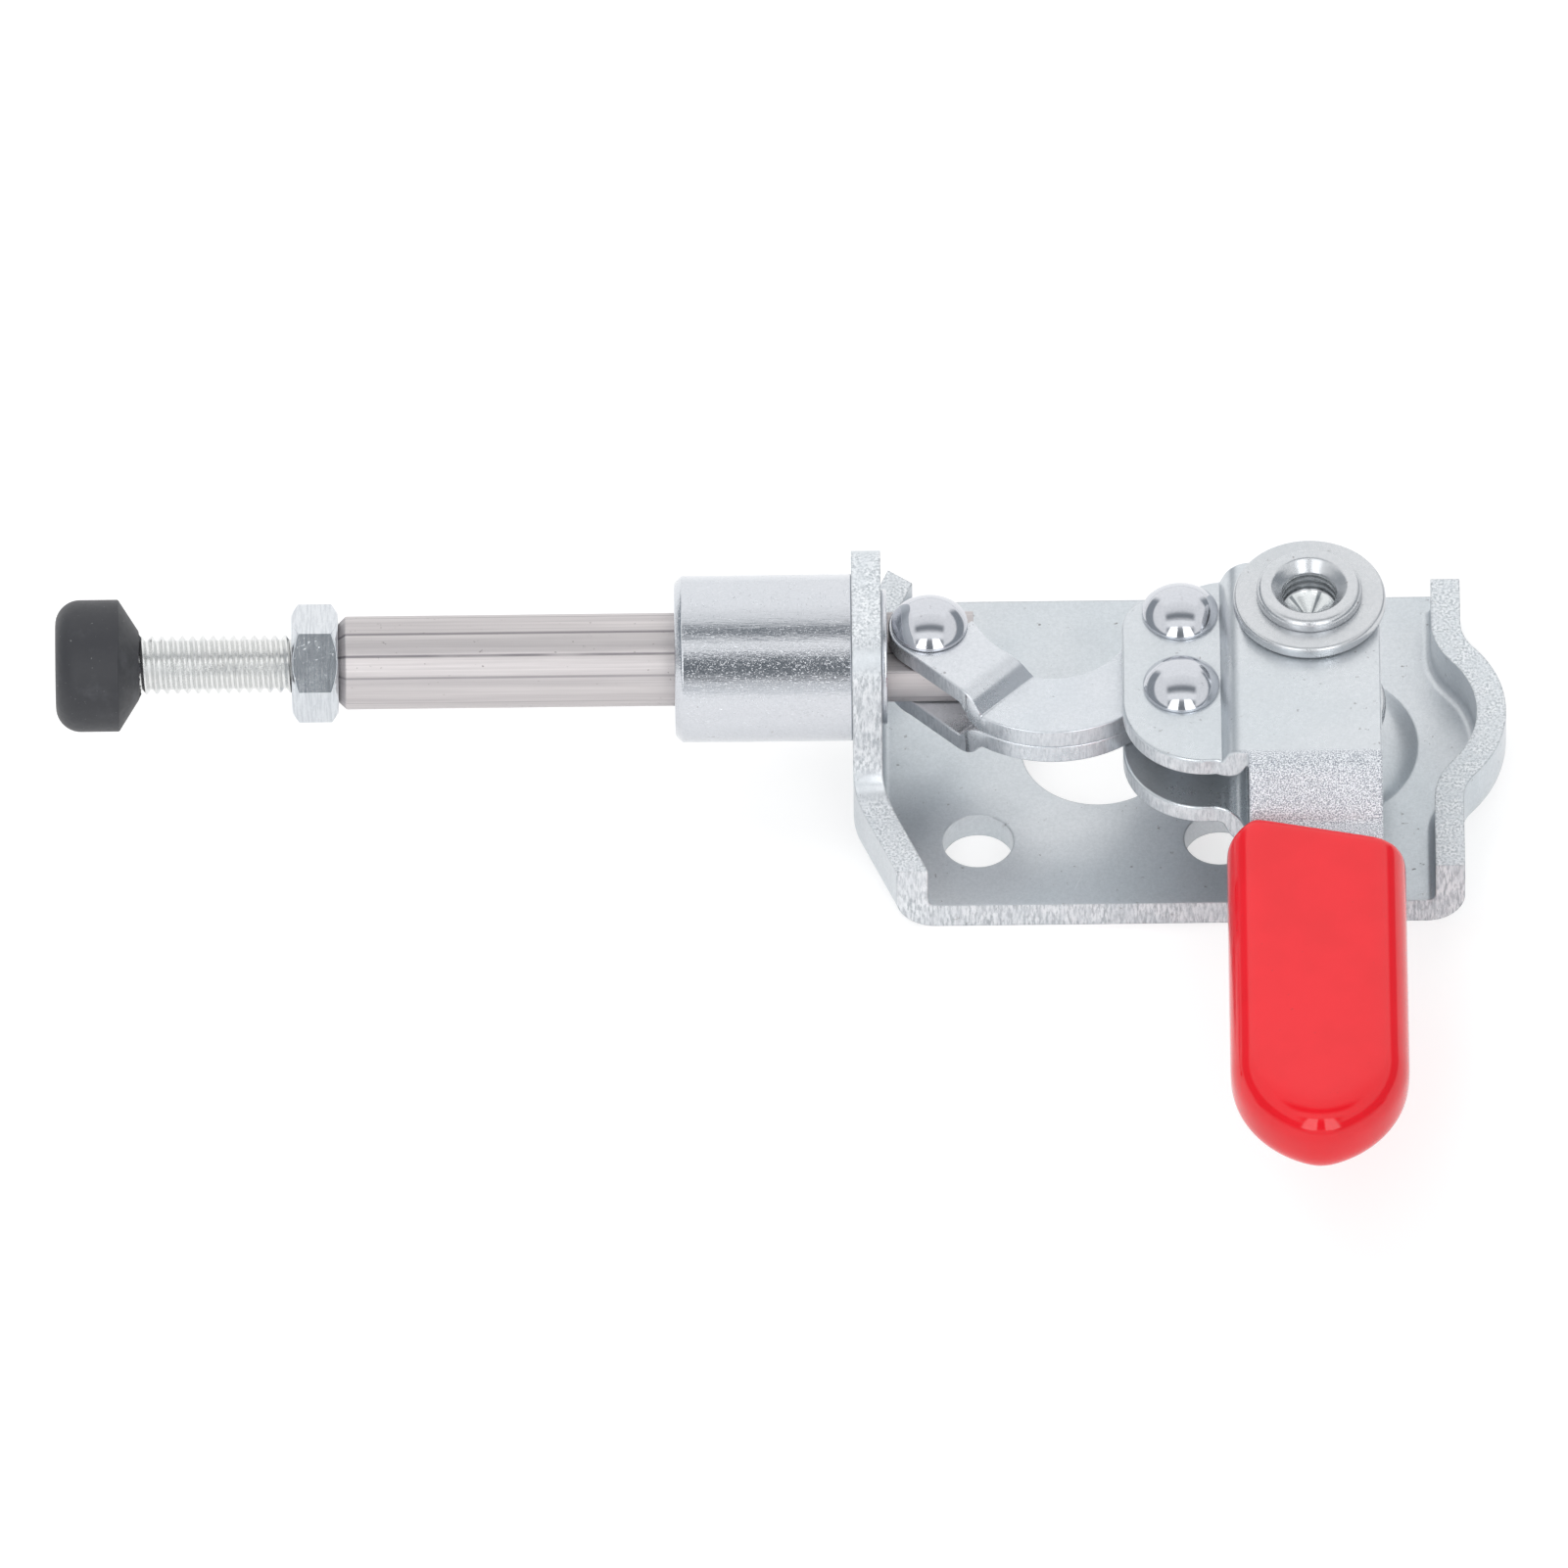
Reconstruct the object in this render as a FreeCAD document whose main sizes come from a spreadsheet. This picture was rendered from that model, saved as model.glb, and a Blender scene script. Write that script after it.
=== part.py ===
import FreeCAD, Part
import Sketcher
import math
import os

# Side-mounted push-pull toggle clamp, modelled in millimetres.
# Origin: midway between the two mounting holes, on the underside of the base. The plunger points
# along -X, the handle lies along -Y when the clamp is locked, and +Z is up from the mounting face.
# Each piece is drawn about the clamp's own middle plane, then moved back by hole_setback.
SIZES = {
    # base, one bent sheet
    "sheet_thick": 2.0,
    "plate_front": 14.5,
    "plate_back": 13.9,
    "hole_spacing": 16.5,
    "hole_dia": 4.85,
    "hole_setback": 8.5,
    "centre_hole_dia": 10.4,
    "wall_height": 5.45,
    "wall_back_end": 12.3,
    "plateau_x": 16.7,
    "front_flat_half": 6.4,
    "front_plan_radius": 5.0,
    "front_lean": 21.8,
    "front_cut_x": 11.9,
    "front_cut_y": 12.0,
    "front_cut_slope": 0.76,
    "front_bend_inside": 0.5,
    "rear_end_x": 24.9,
    "rear_bulge": 3.0,
    "rear_bulge_radius": 9.2,
    "rear_bulge_half": 8.2,
    "rear_bend_inside": 0.6,
    "tab_half": 6.1,
    "tab_corner": 3.3,
    "tab_foot": 3.5,
    "emboss_height": 1.6,
    "emboss_foot_radius": 7.4,
    "emboss_top_radius": 4.2,
    "hollow_radius": 4.2,
    "hollow_flare": 0.8,
    # guide sleeve and plunger
    "axis_height": 11.4,
    "sleeve_radius": 5.7,
    "sleeve_length": 12.1,
    "sleeve_chamfer": 0.5,
    "spigot_radius": 4.2,
    "stake_radius": 4.6,
    "stake_thick": 0.4,
    "plunger_dia": 6.35,
    "plunger_nose_x": 51.7,
    "nose_chamfer": 0.5,
    "tongue_thick": 3.0,
    "tongue_start_x": 17.5,
    "tongue_overhang": 3.0,
    # spindle, nut and tip
    "screw_dia": 4.0,
    "screw_inner_x": 35.5,
    "screw_bore_depth": 27.5,
    "nut_flats": 7.0,
    "nut_thick": 3.2,
    "nut_turn": 43.0,
    "nut_chamfer": 0.55,
    "tip_front_x": 71.0,
    "tip_rim_x": 66.7,
    "tip_neck_x": 65.3,
    "tip_radius": 4.5,
    "tip_edge": 1.7,
    "tip_front_wall": 1.4,
    "head_radius": 3.3,
    "head_thick": 2.6,
    # pivots, in plan
    "pivot_x": 14.5,
    "link_pin_x": 5.7,
    "over_centre": 0.9,
    "stop_pin_setback": 6.8,
    "plunger_pin_x": 11.4,
    # links
    "link_thick": 1.5,
    "link_eye": 2.8,
    "link_arch_x": 8.4,
    "link_arch_y": 0.1,
    "link_arch_radius": 8.75,
    "link_hollow_y": 1.9,
    "link_hollow_radius": 5.45,
    "link_joggle_start": 5.4,
    "link_joggle_angle": 55.0,
    "link_bend_inside": 0.3,
    "arm_angle": -45.0,
    "hook_gap": 0.2,
    "hook_side": 1.8,
    "hook_way": 38.0,
    # rivets
    "rivet_shank": 1.25,
    "rivet_head_radius": 2.6,
    "rivet_head_height": 1.5,
    "rivet_rim": 0.25,
    # handle plates
    "handle_thick": 1.5,
    "panel_radius": 4.8,
    "panel_left": 4.3,
    "ear_left": 12.8,
    "ear_back_left": 2.3,
    "ear_back_right": 3.8,
    "ear_corner": 3.0,
    "ear_front": 12.9,
    "ear_back_x": 6.4,
    "ear_foot": 7.0,
    "ear_front_x": 6.5,
    "panel_shoulder": 110.0,
    "ear_foot_radius": 5.6,
    "joggle_angle": 65.0,
    "handle_bend_inside": 0.15,
    "slope_start": 13.7,
    "slope_angle": 50.0,
    "slope_bend_inside": 0.6,
    "tang_end": 44.0,
    # grip
    "grip_half": 6.1,
    "grip_centre_x": 0.2,
    "grip_thick": 5.7,
    "grip_end": 46.6,
    "grip_mouth": 18.9,
    "grip_mouth_slant": 1.1,
    "grip_mouth_peak": 4.0,
    "grip_mouth_rise": 1.2,
    "grip_end_radius": 7.5,
    "grip_nose": 3.2,
    "grip_edge": 2.3,
    "grip_gap": 0.02,
    # pivot stud, washers and spacer
    "stud_radius": 3.0,
    "stud_shoulder": 4.0,
    "stud_tail_radius": 3.6,
    "stud_tail_thick": 1.0,
    "stud_lip_radius": 3.6,
    "stud_lip_height": 0.9,
    "stud_lip_round": 0.5,
    "stud_mouth": 2.6,
    "stud_bore": 1.85,
    "stud_bore_depth": 2.3,
    "stud_cone_depth": 1.1,
    "stud_point": 0.12,
    "washer_radius": 5.2,
    "washer_thick": 1.0,
    "washer_edge": 0.3,
    "spacer_radius": 3.6,
    # clearances
    "side_gap": 0.1,
    "turn_gap": 0.05,
    "seat_gap": 0.02,
}

doc = FreeCAD.newDocument("ToggleClamp")
sheet = doc.addObject("Spreadsheet::Sheet", "Sizes")
worked = doc.addObject("Spreadsheet::Sheet", "Worked")


class Length:
    """A number together with its formula in the sheets, so that sums of sizes stay bound to them."""

    def __init__(self, number, formula):
        self.number = number
        self.formula = formula

    def __add__(self, other):
        other = length(other)
        return Length(self.number + other.number, f"({self.formula} + {other.formula})")

    def __sub__(self, other):
        other = length(other)
        return Length(self.number - other.number, f"({self.formula} - {other.formula})")

    def __mul__(self, other):
        other = length(other)
        return Length(self.number * other.number, f"({self.formula} * {other.formula})")

    def __truediv__(self, other):
        other = length(other)
        return Length(self.number / other.number, f"({self.formula} / {other.formula})")

    def __neg__(self):
        return Length(-self.number, f"(0 - {self.formula})")

    def __radd__(self, other):
        return length(other) + self

    def __rsub__(self, other):
        return length(other) - self

    def __rmul__(self, other):
        return length(other) * self


def length(value):
    return value if isinstance(value, Length) else Length(float(value), repr(float(value)))


def root(value):
    return Length(math.sqrt(value.number), f"sqrt({value.formula})")


def sine(angle):
    return Length(math.sin(math.radians(angle.number)), f"sin({angle.formula})")


def cosine(angle):
    return Length(math.cos(math.radians(angle.number)), f"cos({angle.formula})")


class Sizes:
    """The driving sizes, each a Length bound to its cell."""


sizes = Sizes()
for row, (alias, number) in enumerate(SIZES.items(), start=1):
    sheet.set(f"A{row}", alias)
    sheet.set(f"B{row}", str(number))
    sheet.setAlias(f"B{row}", alias)
    setattr(sizes, alias, Length(float(number), f"Sizes.{alias}"))
doc.recompute()


def named(alias, value):
    """Keep a worked-out size in a cell of its own, so that formulas stay short."""
    row = 1 + len(worked_names)
    worked_names.append(alias)
    worked.set(f"A{row}", alias)
    worked.set(f"B{row}", "=" + value.formula)
    worked.setAlias(f"B{row}", alias)
    return Length(value.number, f"Worked.{alias}")


worked_names = []
s = sizes
Z0 = length(0)


def bind(thing, prop, value):
    thing.setExpression(prop, length(value).formula)


def new_body(label, x=0, y=0, z=0, turn=None):
    """A piece with its own frame at x, y, z from the clamp's middle plane, turned about +Z."""
    body = doc.addObject("PartDesign::Body", label)
    body.Label = label
    if turn is not None:
        up = FreeCAD.Vector(0, 0, 1)
        body.Placement = FreeCAD.Placement(FreeCAD.Vector(), FreeCAD.Rotation(up, turn.number))
    bind(body, "Placement.Base.x", x)
    bind(body, "Placement.Base.y", length(y) + s.hole_setback)
    bind(body, "Placement.Base.z", z)
    return body


def new_sketch(body, name, role, lift=None, across=None):
    """A sketch on one of the body's own planes, lifted along the normal or moved across it."""
    sketch = body.newObject("Sketcher::SketchObject", name)
    plane = [f for f in body.Origin.OriginFeatures if f.Role == role][0]
    sketch.AttachmentSupport = [(plane, "")]
    sketch.MapMode = "FlatFace"
    if lift is not None:
        bind(sketch, "AttachmentOffset.Base.z", lift)
    if across is not None:
        bind(sketch, "AttachmentOffset.Base.x", across)
    return sketch


def constrain(sketch, constraint, value):
    sketch.setExpression(f"Constraints[{sketch.addConstraint(constraint)}]", length(value).formula)


def arc_centre(start, end, radius, turn):
    half = math.dist(start, end) / 2
    rise = math.sqrt(max(radius * radius - half * half, 0.0)) * turn
    along = ((end[0] - start[0]) / (2 * half), (end[1] - start[1]) / (2 * half))
    middle = ((start[0] + end[0]) / 2, (start[1] + end[1]) / 2)
    return middle[0] - along[1] * rise, middle[1] + along[0] * rise


def outline(sketch, corners):
    """A closed outline. A corner (x, y) starts a straight side, (x, y, radius, turn) an arc that
    turns left (+1) or right (-1)."""
    points = [(length(c[0]), length(c[1])) for c in corners]
    numbers = [(x.number, y.number) for x, y in points]
    first_ends = []
    for i, corner in enumerate(corners):
        start = numbers[i]
        end = numbers[(i + 1) % len(corners)]
        if len(corner) == 2:
            side = Part.LineSegment(FreeCAD.Vector(*start, 0), FreeCAD.Vector(*end, 0))
            geometry = sketch.addGeometry(side)
            first_ends.append((geometry, 1, 2))
            continue
        radius = length(corner[2])
        cx, cy = arc_centre(start, end, radius.number, corner[3])
        from_angle = math.atan2(start[1] - cy, start[0] - cx)
        to_angle = math.atan2(end[1] - cy, end[0] - cx)
        if corner[3] < 0:
            from_angle, to_angle = to_angle, from_angle
        circle = Part.Circle(FreeCAD.Vector(cx, cy, 0), FreeCAD.Vector(0, 0, 1), radius.number)
        geometry = sketch.addGeometry(Part.ArcOfCircle(circle, from_angle, to_angle))
        first_ends.append((geometry, 1, 2) if corner[3] > 0 else (geometry, 2, 1))
        constrain(sketch, Sketcher.Constraint("Radius", geometry, radius.number), radius)
    for i, (geometry, first, last) in enumerate(first_ends):
        following, start_of_following, _ = first_ends[(i + 1) % len(first_ends)]
        sketch.addConstraint(
            Sketcher.Constraint("Coincident", geometry, last, following, start_of_following)
        )
        x, y = points[i]
        constrain(sketch, Sketcher.Constraint("DistanceX", -1, 1, geometry, first, x.number), x)
        constrain(sketch, Sketcher.Constraint("DistanceY", -1, 1, geometry, first, y.number), y)


def round_hole(sketch, x, y, radius):
    x, y, radius = length(x), length(y), length(radius)
    centre = FreeCAD.Vector(x.number, y.number, 0)
    geometry = sketch.addGeometry(Part.Circle(centre, FreeCAD.Vector(0, 0, 1), radius.number))
    constrain(sketch, Sketcher.Constraint("Radius", geometry, radius.number), radius)
    constrain(sketch, Sketcher.Constraint("DistanceX", -1, 1, geometry, 3, x.number), x)
    constrain(sketch, Sketcher.Constraint("DistanceY", -1, 1, geometry, 3, y.number), y)


def box_outline(sketch, left, bottom, right, top):
    outline(sketch, [(left, bottom), (right, bottom), (right, top), (left, top)])


def pad(body, sketch, height, both_ways=False, backwards=False):
    feature = body.newObject("PartDesign::Pad", "Pad")
    feature.Profile = sketch
    feature.Midplane = both_ways
    feature.Reversed = backwards
    bind(feature, "Length", height)
    doc.recompute()
    return feature


def cut(body, sketch, depth=None, both_ways=False, backwards=False):
    """A pocket against the sketch's normal, or along it when backwards; without a depth, through."""
    before = body.Shape.Volume
    feature = body.newObject("PartDesign::Pocket", "Pocket")
    feature.Profile = sketch
    feature.Midplane = both_ways
    feature.Reversed = backwards
    if depth is None:
        feature.Type = "ThroughAll"
    else:
        bind(feature, "Length", depth)
    doc.recompute()
    if body.Shape.Volume >= before:
        raise RuntimeError(f"{body.Label}: {sketch.Name} cuts nothing")
    return feature


def turned(body, kind, sketch, axis):
    feature = body.newObject(f"PartDesign::{kind}", kind)
    feature.Profile = sketch
    feature.ReferenceAxis = (sketch, [axis])
    feature.Angle = 360
    doc.recompute()
    return feature


def dress(body, kind, edges, value, prop):
    """A fillet or chamfer on the edges of the body's last feature that the test picks."""
    base = body.Tip
    names = [f"Edge{i}" for i, e in enumerate(base.Shape.Edges, start=1) if edges(e)]
    feature = body.newObject(f"PartDesign::{kind}", kind)
    feature.Base = (base, names)
    bind(feature, prop, value)
    doc.recompute()
    return feature


def at(value, wanted):
    return abs(value - length(wanted).number) < 1e-4


# Levels and places that several pieces share, measured from the plunger axis.
link_inner = named("link_inner", s.tongue_thick / 2 + s.side_gap)
link_outer = named("link_outer", link_inner + s.link_thick)
ear_inner = named("ear_inner", s.link_thick + s.side_gap)
ear_outer = named("ear_outer", ear_inner + s.handle_thick)
panel_inner = named("panel_inner", ear_outer + s.side_gap)
panel_outer = named("panel_outer", panel_inner + s.handle_thick)
top_washer_z = named("top_washer_z", panel_outer + s.turn_gap)
lip_z = named("lip_z", top_washer_z + s.washer_thick)
emboss_top = named("emboss_top", s.sheet_thick + s.emboss_height)
tab_top = named("tab_top", s.axis_height + s.tab_half)
flange_inner_x = named("flange_inner_x", s.plateau_x - s.sheet_thick)
plunger_radius = named("plunger_radius", s.plunger_dia / 2)
thread_radius = named("thread_radius", s.screw_dia / 2)
pin_arm = named("pin_arm", s.pivot_x - s.link_pin_x)
link_reach = named("link_reach", s.plunger_pin_x + s.link_pin_x)
nut_outer_x = named("nut_outer_x", s.plunger_nose_x + s.nut_thick)


# The base is one bent sheet: a plate, a front flange that widens into a raised tab for the sleeve
# and runs back aslant on both sides, and a low rear wall that bows out round the pivot in S-curves.
def base_outline(offset, spare):
    """The sheet's outline in plan, offset inwards, with its front and back sides moved out."""
    bend = named(f"front_bend_{spare}", s.front_plan_radius - offset)
    bend_x = s.front_plan_radius - s.plateau_x - bend * cosine(s.front_lean)
    bend_y = s.front_flat_half + bend * sine(s.front_lean)
    slant = sine(s.front_lean) / cosine(s.front_lean)
    rear_sum = (s.rear_bulge_half * s.rear_bulge_half + s.rear_bulge * s.rear_bulge) / (
        2 * s.rear_bulge
    )
    rear_convex = named(f"rear_convex_{spare}", s.rear_bulge_radius - offset)
    rear_concave = named(f"rear_concave_{spare}", rear_sum - s.rear_bulge_radius + offset)
    bulge_share = rear_convex / rear_sum
    bulge_x = s.rear_end_x - offset + s.rear_bulge * (1 - bulge_share)
    bulge_y = s.rear_bulge_half * bulge_share
    front, back = s.plate_front + spare, s.plate_back + spare
    flat_x = offset - s.plateau_x
    rear_x = s.rear_end_x - offset
    return [
        (bend_x + (front - bend_y) * slant, -front),
        (rear_x, -front),
        (rear_x, -s.rear_bulge_half, rear_concave, -1),
        (bulge_x, -bulge_y, rear_convex, 1),
        (bulge_x, bulge_y, rear_concave, -1),
        (rear_x, s.rear_bulge_half),
        (rear_x, back),
        (bend_x + (back - bend_y) * slant, back),
        (bend_x, bend_y, bend, 1),
        (flat_x, s.front_flat_half),
        (flat_x, -s.front_flat_half, bend, 1),
        (bend_x, -bend_y),
    ]


base = new_body("base_frame")
blank = new_sketch(base, "BlankOutline", "XY_Plane")
outline(blank, base_outline(Z0, 2))
pad(base, blank, tab_top)


def bend_edge(level, front):
    """Edges that run along a wall's foot at a level, leaving out the open front and back sides."""

    def picked(edge):
        box = edge.BoundBox
        flat = at(box.ZMin, level) and at(box.ZMax, level)
        along_side = at(box.YMin, box.YMax)
        return flat and not along_side and (box.XMax < 0) == front

    return picked


dress(base, "Fillet", bend_edge(Z0, True), s.front_bend_inside + s.sheet_thick, "Radius")
dress(base, "Fillet", bend_edge(Z0, False), s.rear_bend_inside + s.sheet_thick, "Radius")
hollow = new_sketch(base, "InsideOutline", "XY_Plane", lift=s.sheet_thick)
outline(hollow, base_outline(s.sheet_thick, 4))
cut(base, hollow, backwards=True)
dress(base, "Fillet", bend_edge(s.sheet_thick, True), s.front_bend_inside, "Radius")
dress(base, "Fillet", bend_edge(s.sheet_thick, False), s.rear_bend_inside, "Radius")

# The front and back edges are sheared flush; the walls stop short of the back edge.
for name, near, far in (("ShearFront", -s.plate_front - 6, -s.plate_front),
                        ("ShearBack", s.plate_back, s.plate_back + 6)):
    shear = new_sketch(base, name, "XY_Plane")
    box_outline(shear, -s.plateau_x - 4, near, s.rear_end_x + s.rear_bulge + 4, far)
    cut(base, shear, backwards=True)

tab_sky = named("tab_sky", tab_top + 4)
foot_y = s.tab_half + s.tab_foot
foot_z = s.wall_height + s.tab_foot
shoulder_y = s.tab_half - s.tab_corner
shoulder_z = tab_top - s.tab_corner
wide = s.plate_front + 4
tab = new_sketch(base, "TabOutline", "YZ_Plane")
outline(tab, [
    (-wide, s.wall_height),
    (-foot_y, s.wall_height, s.tab_foot, 1),
    (-s.tab_half, foot_z),
    (-s.tab_half, shoulder_z, s.tab_corner, -1),
    (-shoulder_y, tab_top),
    (shoulder_y, tab_top, s.tab_corner, -1),
    (s.tab_half, shoulder_z),
    (s.tab_half, foot_z, s.tab_foot, 1),
    (foot_y, s.wall_height),
    (wide, s.wall_height),
    (wide, tab_sky),
    (-wide, tab_sky),
])
cut(base, tab)
rear_rim = new_sketch(base, "RearRim", "YZ_Plane")
box_outline(rear_rim, -wide, s.wall_height, wide, tab_sky)
cut(base, rear_rim, backwards=True)

wall_end = new_sketch(base, "WallBackEnds", "XY_Plane", lift=s.sheet_thick)
past_back = s.plate_back + 4
box_outline(wall_end, s.rear_end_x - 6, s.wall_back_end, s.rear_end_x + 6, past_back)
cut(base, wall_end, backwards=True)

# The front wall's back end is cut off along a slanting line through front_cut_x, front_cut_y.
front_end = new_sketch(base, "FrontWallBackEnd", "XY_Plane", lift=s.sheet_thick)
inside_x = s.sheet_thick * 1.25 - s.front_cut_x
outside_x = -s.plateau_x - 1
outline(front_end, [
    (inside_x, s.front_cut_y - (inside_x + s.front_cut_x) * s.front_cut_slope),
    (inside_x, past_back),
    (outside_x, past_back),
    (outside_x, s.front_cut_y - (outside_x + s.front_cut_x) * s.front_cut_slope),
])
cut(base, front_end, backwards=True)

holes = new_sketch(base, "PlateHoles", "XY_Plane")
round_hole(holes, -s.hole_spacing / 2, -s.hole_setback, s.hole_dia / 2)
round_hole(holes, s.hole_spacing / 2, -s.hole_setback, s.hole_dia / 2)
round_hole(holes, 0, 0, s.centre_hole_dia / 2)
cut(base, holes, backwards=True)
sleeve_hole = new_sketch(base, "SleeveHole", "YZ_Plane")
round_hole(sleeve_hole, 0, s.axis_height, s.spigot_radius + s.seat_gap)
cut(base, sleeve_hole)

# The round emboss lifts the sheet under the pivot, so that the stud's riveted tail sits in it.
emboss_run = s.emboss_foot_radius - s.emboss_top_radius
emboss_sum = emboss_run * emboss_run + s.emboss_height * s.emboss_height
emboss_bend = named("emboss_bend", emboss_sum / (2 * s.emboss_height))
emboss = new_sketch(base, "Emboss", "XZ_Plane", across=s.pivot_x)
outline(emboss, [
    (0, s.sheet_thick / 2),
    (s.emboss_foot_radius, s.sheet_thick / 2),
    (s.emboss_foot_radius, s.sheet_thick, emboss_bend, 1),
    (s.emboss_top_radius, emboss_top),
    (0, emboss_top),
])
turned(base, "Revolution", emboss, "V_Axis")
under = new_sketch(base, "EmbossHollow", "XZ_Plane", across=s.pivot_x)
outline(under, [
    (0, -s.sheet_thick),
    (s.hollow_radius + s.hollow_flare, -s.sheet_thick),
    (s.hollow_radius + s.hollow_flare, 0),
    (s.hollow_radius, s.emboss_height),
    (0, s.emboss_height),
])
turned(base, "Groove", under, "V_Axis")
stud_hole = new_sketch(base, "StudHole", "XY_Plane")
round_hole(stud_hole, s.pivot_x, 0, s.stud_radius + s.seat_gap)
cut(base, stud_hole, backwards=True)


# The guide sleeve is turned with a spigot that is staked over inside the flange.
sleeve = new_body("guide_sleeve", z=s.axis_height)
sleeve_side = new_sketch(sleeve, "HalfSection", "XZ_Plane")
bore = plunger_radius + s.turn_gap
sleeve_front = named("sleeve_front", s.plateau_x + s.sleeve_length)
outline(sleeve_side, [
    (-sleeve_front, bore),
    (-flange_inner_x + s.stake_thick, bore),
    (-flange_inner_x + s.stake_thick, s.stake_radius),
    (-flange_inner_x, s.stake_radius),
    (-flange_inner_x, s.spigot_radius),
    (-s.plateau_x, s.spigot_radius),
    (-s.plateau_x, s.sleeve_radius),
    (-sleeve_front + s.sleeve_chamfer, s.sleeve_radius),
    (-sleeve_front, s.sleeve_radius - s.sleeve_chamfer),
])
turned(sleeve, "Revolution", sleeve_side, "H_Axis")

# The plunger is a drawn rod with a tapped nose and a flat tongue between the links.
plunger = new_body("plunger_rod", z=s.axis_height)
tongue_end_x = named("tongue_end_x", s.plunger_pin_x - s.tongue_overhang)
rod_side = new_sketch(plunger, "HalfSection", "XZ_Plane")
outline(rod_side, [
    (-s.plunger_nose_x, thread_radius + s.turn_gap),
    (-s.plunger_nose_x + s.screw_bore_depth, thread_radius + s.turn_gap),
    (-s.plunger_nose_x + s.screw_bore_depth + thread_radius, 0),
    (-tongue_end_x, 0),
    (-tongue_end_x, plunger_radius),
    (-s.plunger_nose_x + s.nose_chamfer, plunger_radius),
    (-s.plunger_nose_x, plunger_radius - s.nose_chamfer),
])
turned(plunger, "Revolution", rod_side, "H_Axis")
tongue = new_sketch(plunger, "TongueFlats", "XZ_Plane")
box_outline(tongue, -s.tongue_start_x, s.tongue_thick / 2, -tongue_end_x + 2, plunger_radius + 1)
cut(plunger, tongue, plunger_radius * 4, both_ways=True)
tongue_under = new_sketch(plunger, "TongueUnderside", "XZ_Plane")
box_outline(
    tongue_under, -s.tongue_start_x, -plunger_radius - 1, -tongue_end_x + 2, -s.tongue_thick / 2
)
cut(plunger, tongue_under, plunger_radius * 4, both_ways=True)
pin_hole = new_sketch(plunger, "PinHole", "XY_Plane")
round_hole(pin_hole, -s.plunger_pin_x, 0, s.rivet_shank + s.seat_gap)
cut(plunger, pin_hole, plunger_radius * 4, both_ways=True)

# The spindle is a headed screw; its head is held in the rubber tip.
spindle = new_body("spindle_screw", z=s.axis_height)
head_front_x = named("head_front_x", s.tip_front_x - s.tip_front_wall)
head_back_x = named("head_back_x", head_front_x - s.head_thick)
screw_side = new_sketch(spindle, "HalfSection", "XZ_Plane")
screw_chamfer = s.screw_dia / 8
outline(screw_side, [
    (-head_front_x, 0),
    (-s.screw_inner_x, 0),
    (-s.screw_inner_x, thread_radius - screw_chamfer),
    (-s.screw_inner_x - screw_chamfer, thread_radius),
    (-head_back_x, thread_radius),
    (-head_back_x, s.head_radius),
    (-head_front_x, s.head_radius),
])
turned(spindle, "Revolution", screw_side, "H_Axis")

# A hexagon lock nut with both corners rounds holds the spindle.
nut = new_body("lock_nut", z=s.axis_height)
nut_face = new_sketch(nut, "Hexagon", "YZ_Plane", lift=-nut_outer_x)
corner_radius = s.nut_flats / cosine(length(30)) / 2
outline(nut_face, [
    (corner_radius * cosine(s.nut_turn + 60 * k), corner_radius * sine(s.nut_turn + 60 * k))
    for k in range(6)
])
pad(nut, nut_face, s.nut_thick)
for name, face_x, inward in (("OuterCorners", -nut_outer_x, 1), ("InnerCorners", -s.plunger_nose_x, -1)):
    corners = new_sketch(nut, name, "XZ_Plane")
    flat_radius = s.nut_flats / 2 - 0.1 * s.nut_flats / 7
    outline(corners, [
        (face_x, flat_radius),
        (face_x + s.nut_chamfer * inward, corner_radius + 0.1),
        (face_x - inward, corner_radius + 0.1),
        (face_x - inward, flat_radius),
    ])
    turned(nut, "Groove", corners, "H_Axis")
nut_bore = new_sketch(nut, "Bore", "YZ_Plane")
round_hole(nut_bore, 0, 0, thread_radius + s.turn_gap)
cut(nut, nut_bore)

# The rubber tip is moulded over the screw's head.
tip = new_body("rubber_tip", z=s.axis_height)
tip_side = new_sketch(tip, "HalfSection", "XZ_Plane")
outline(tip_side, [
    (-s.tip_front_x, 0),
    (-head_front_x, 0),
    (-head_front_x, s.head_radius),
    (-head_back_x, s.head_radius),
    (-head_back_x, thread_radius + s.seat_gap),
    (-s.tip_neck_x, thread_radius + s.seat_gap),
    (-s.tip_neck_x, thread_radius + 0.3),
    (-s.tip_rim_x, s.tip_radius),
    (-s.tip_front_x + s.tip_edge, s.tip_radius, s.tip_edge, 1),
    (-s.tip_front_x, s.tip_radius - s.tip_edge),
])
turned(tip, "Revolution", tip_side, "H_Axis")


def joggle(start, low, rise, thick, inside, angle, way):
    """A sheet's bend up to a higher level: the corners of its underside going away from start, and
    those of its upper side coming back. way is the side of start on which the bend lies."""
    spread = inside * 2 + thick
    run = (spread + (rise - spread) * cosine(angle)) / sine(angle)
    outside = inside + thick
    high = low + rise
    drop = 1 - cosine(angle)
    under = [
        (start, low, outside, way),
        (start + way * outside * sine(angle), low + outside * drop),
        (start + way * (run - inside * sine(angle)), high - inside * drop, inside, -way),
        (start + way * run, high),
    ]
    over = [
        (start + way * run, high + thick, outside, way),
        (start + way * (run - outside * sine(angle)), high + thick - outside * drop),
        (start + way * inside * sine(angle), low + thick + inside * drop, inside, -way),
        (start, low + thick),
    ]
    return under, over


def joggle_run(rise, thick, inside, angle):
    spread = inside * 2 + thick
    return (spread + (rise - spread) * cosine(angle)) / sine(angle)


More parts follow.
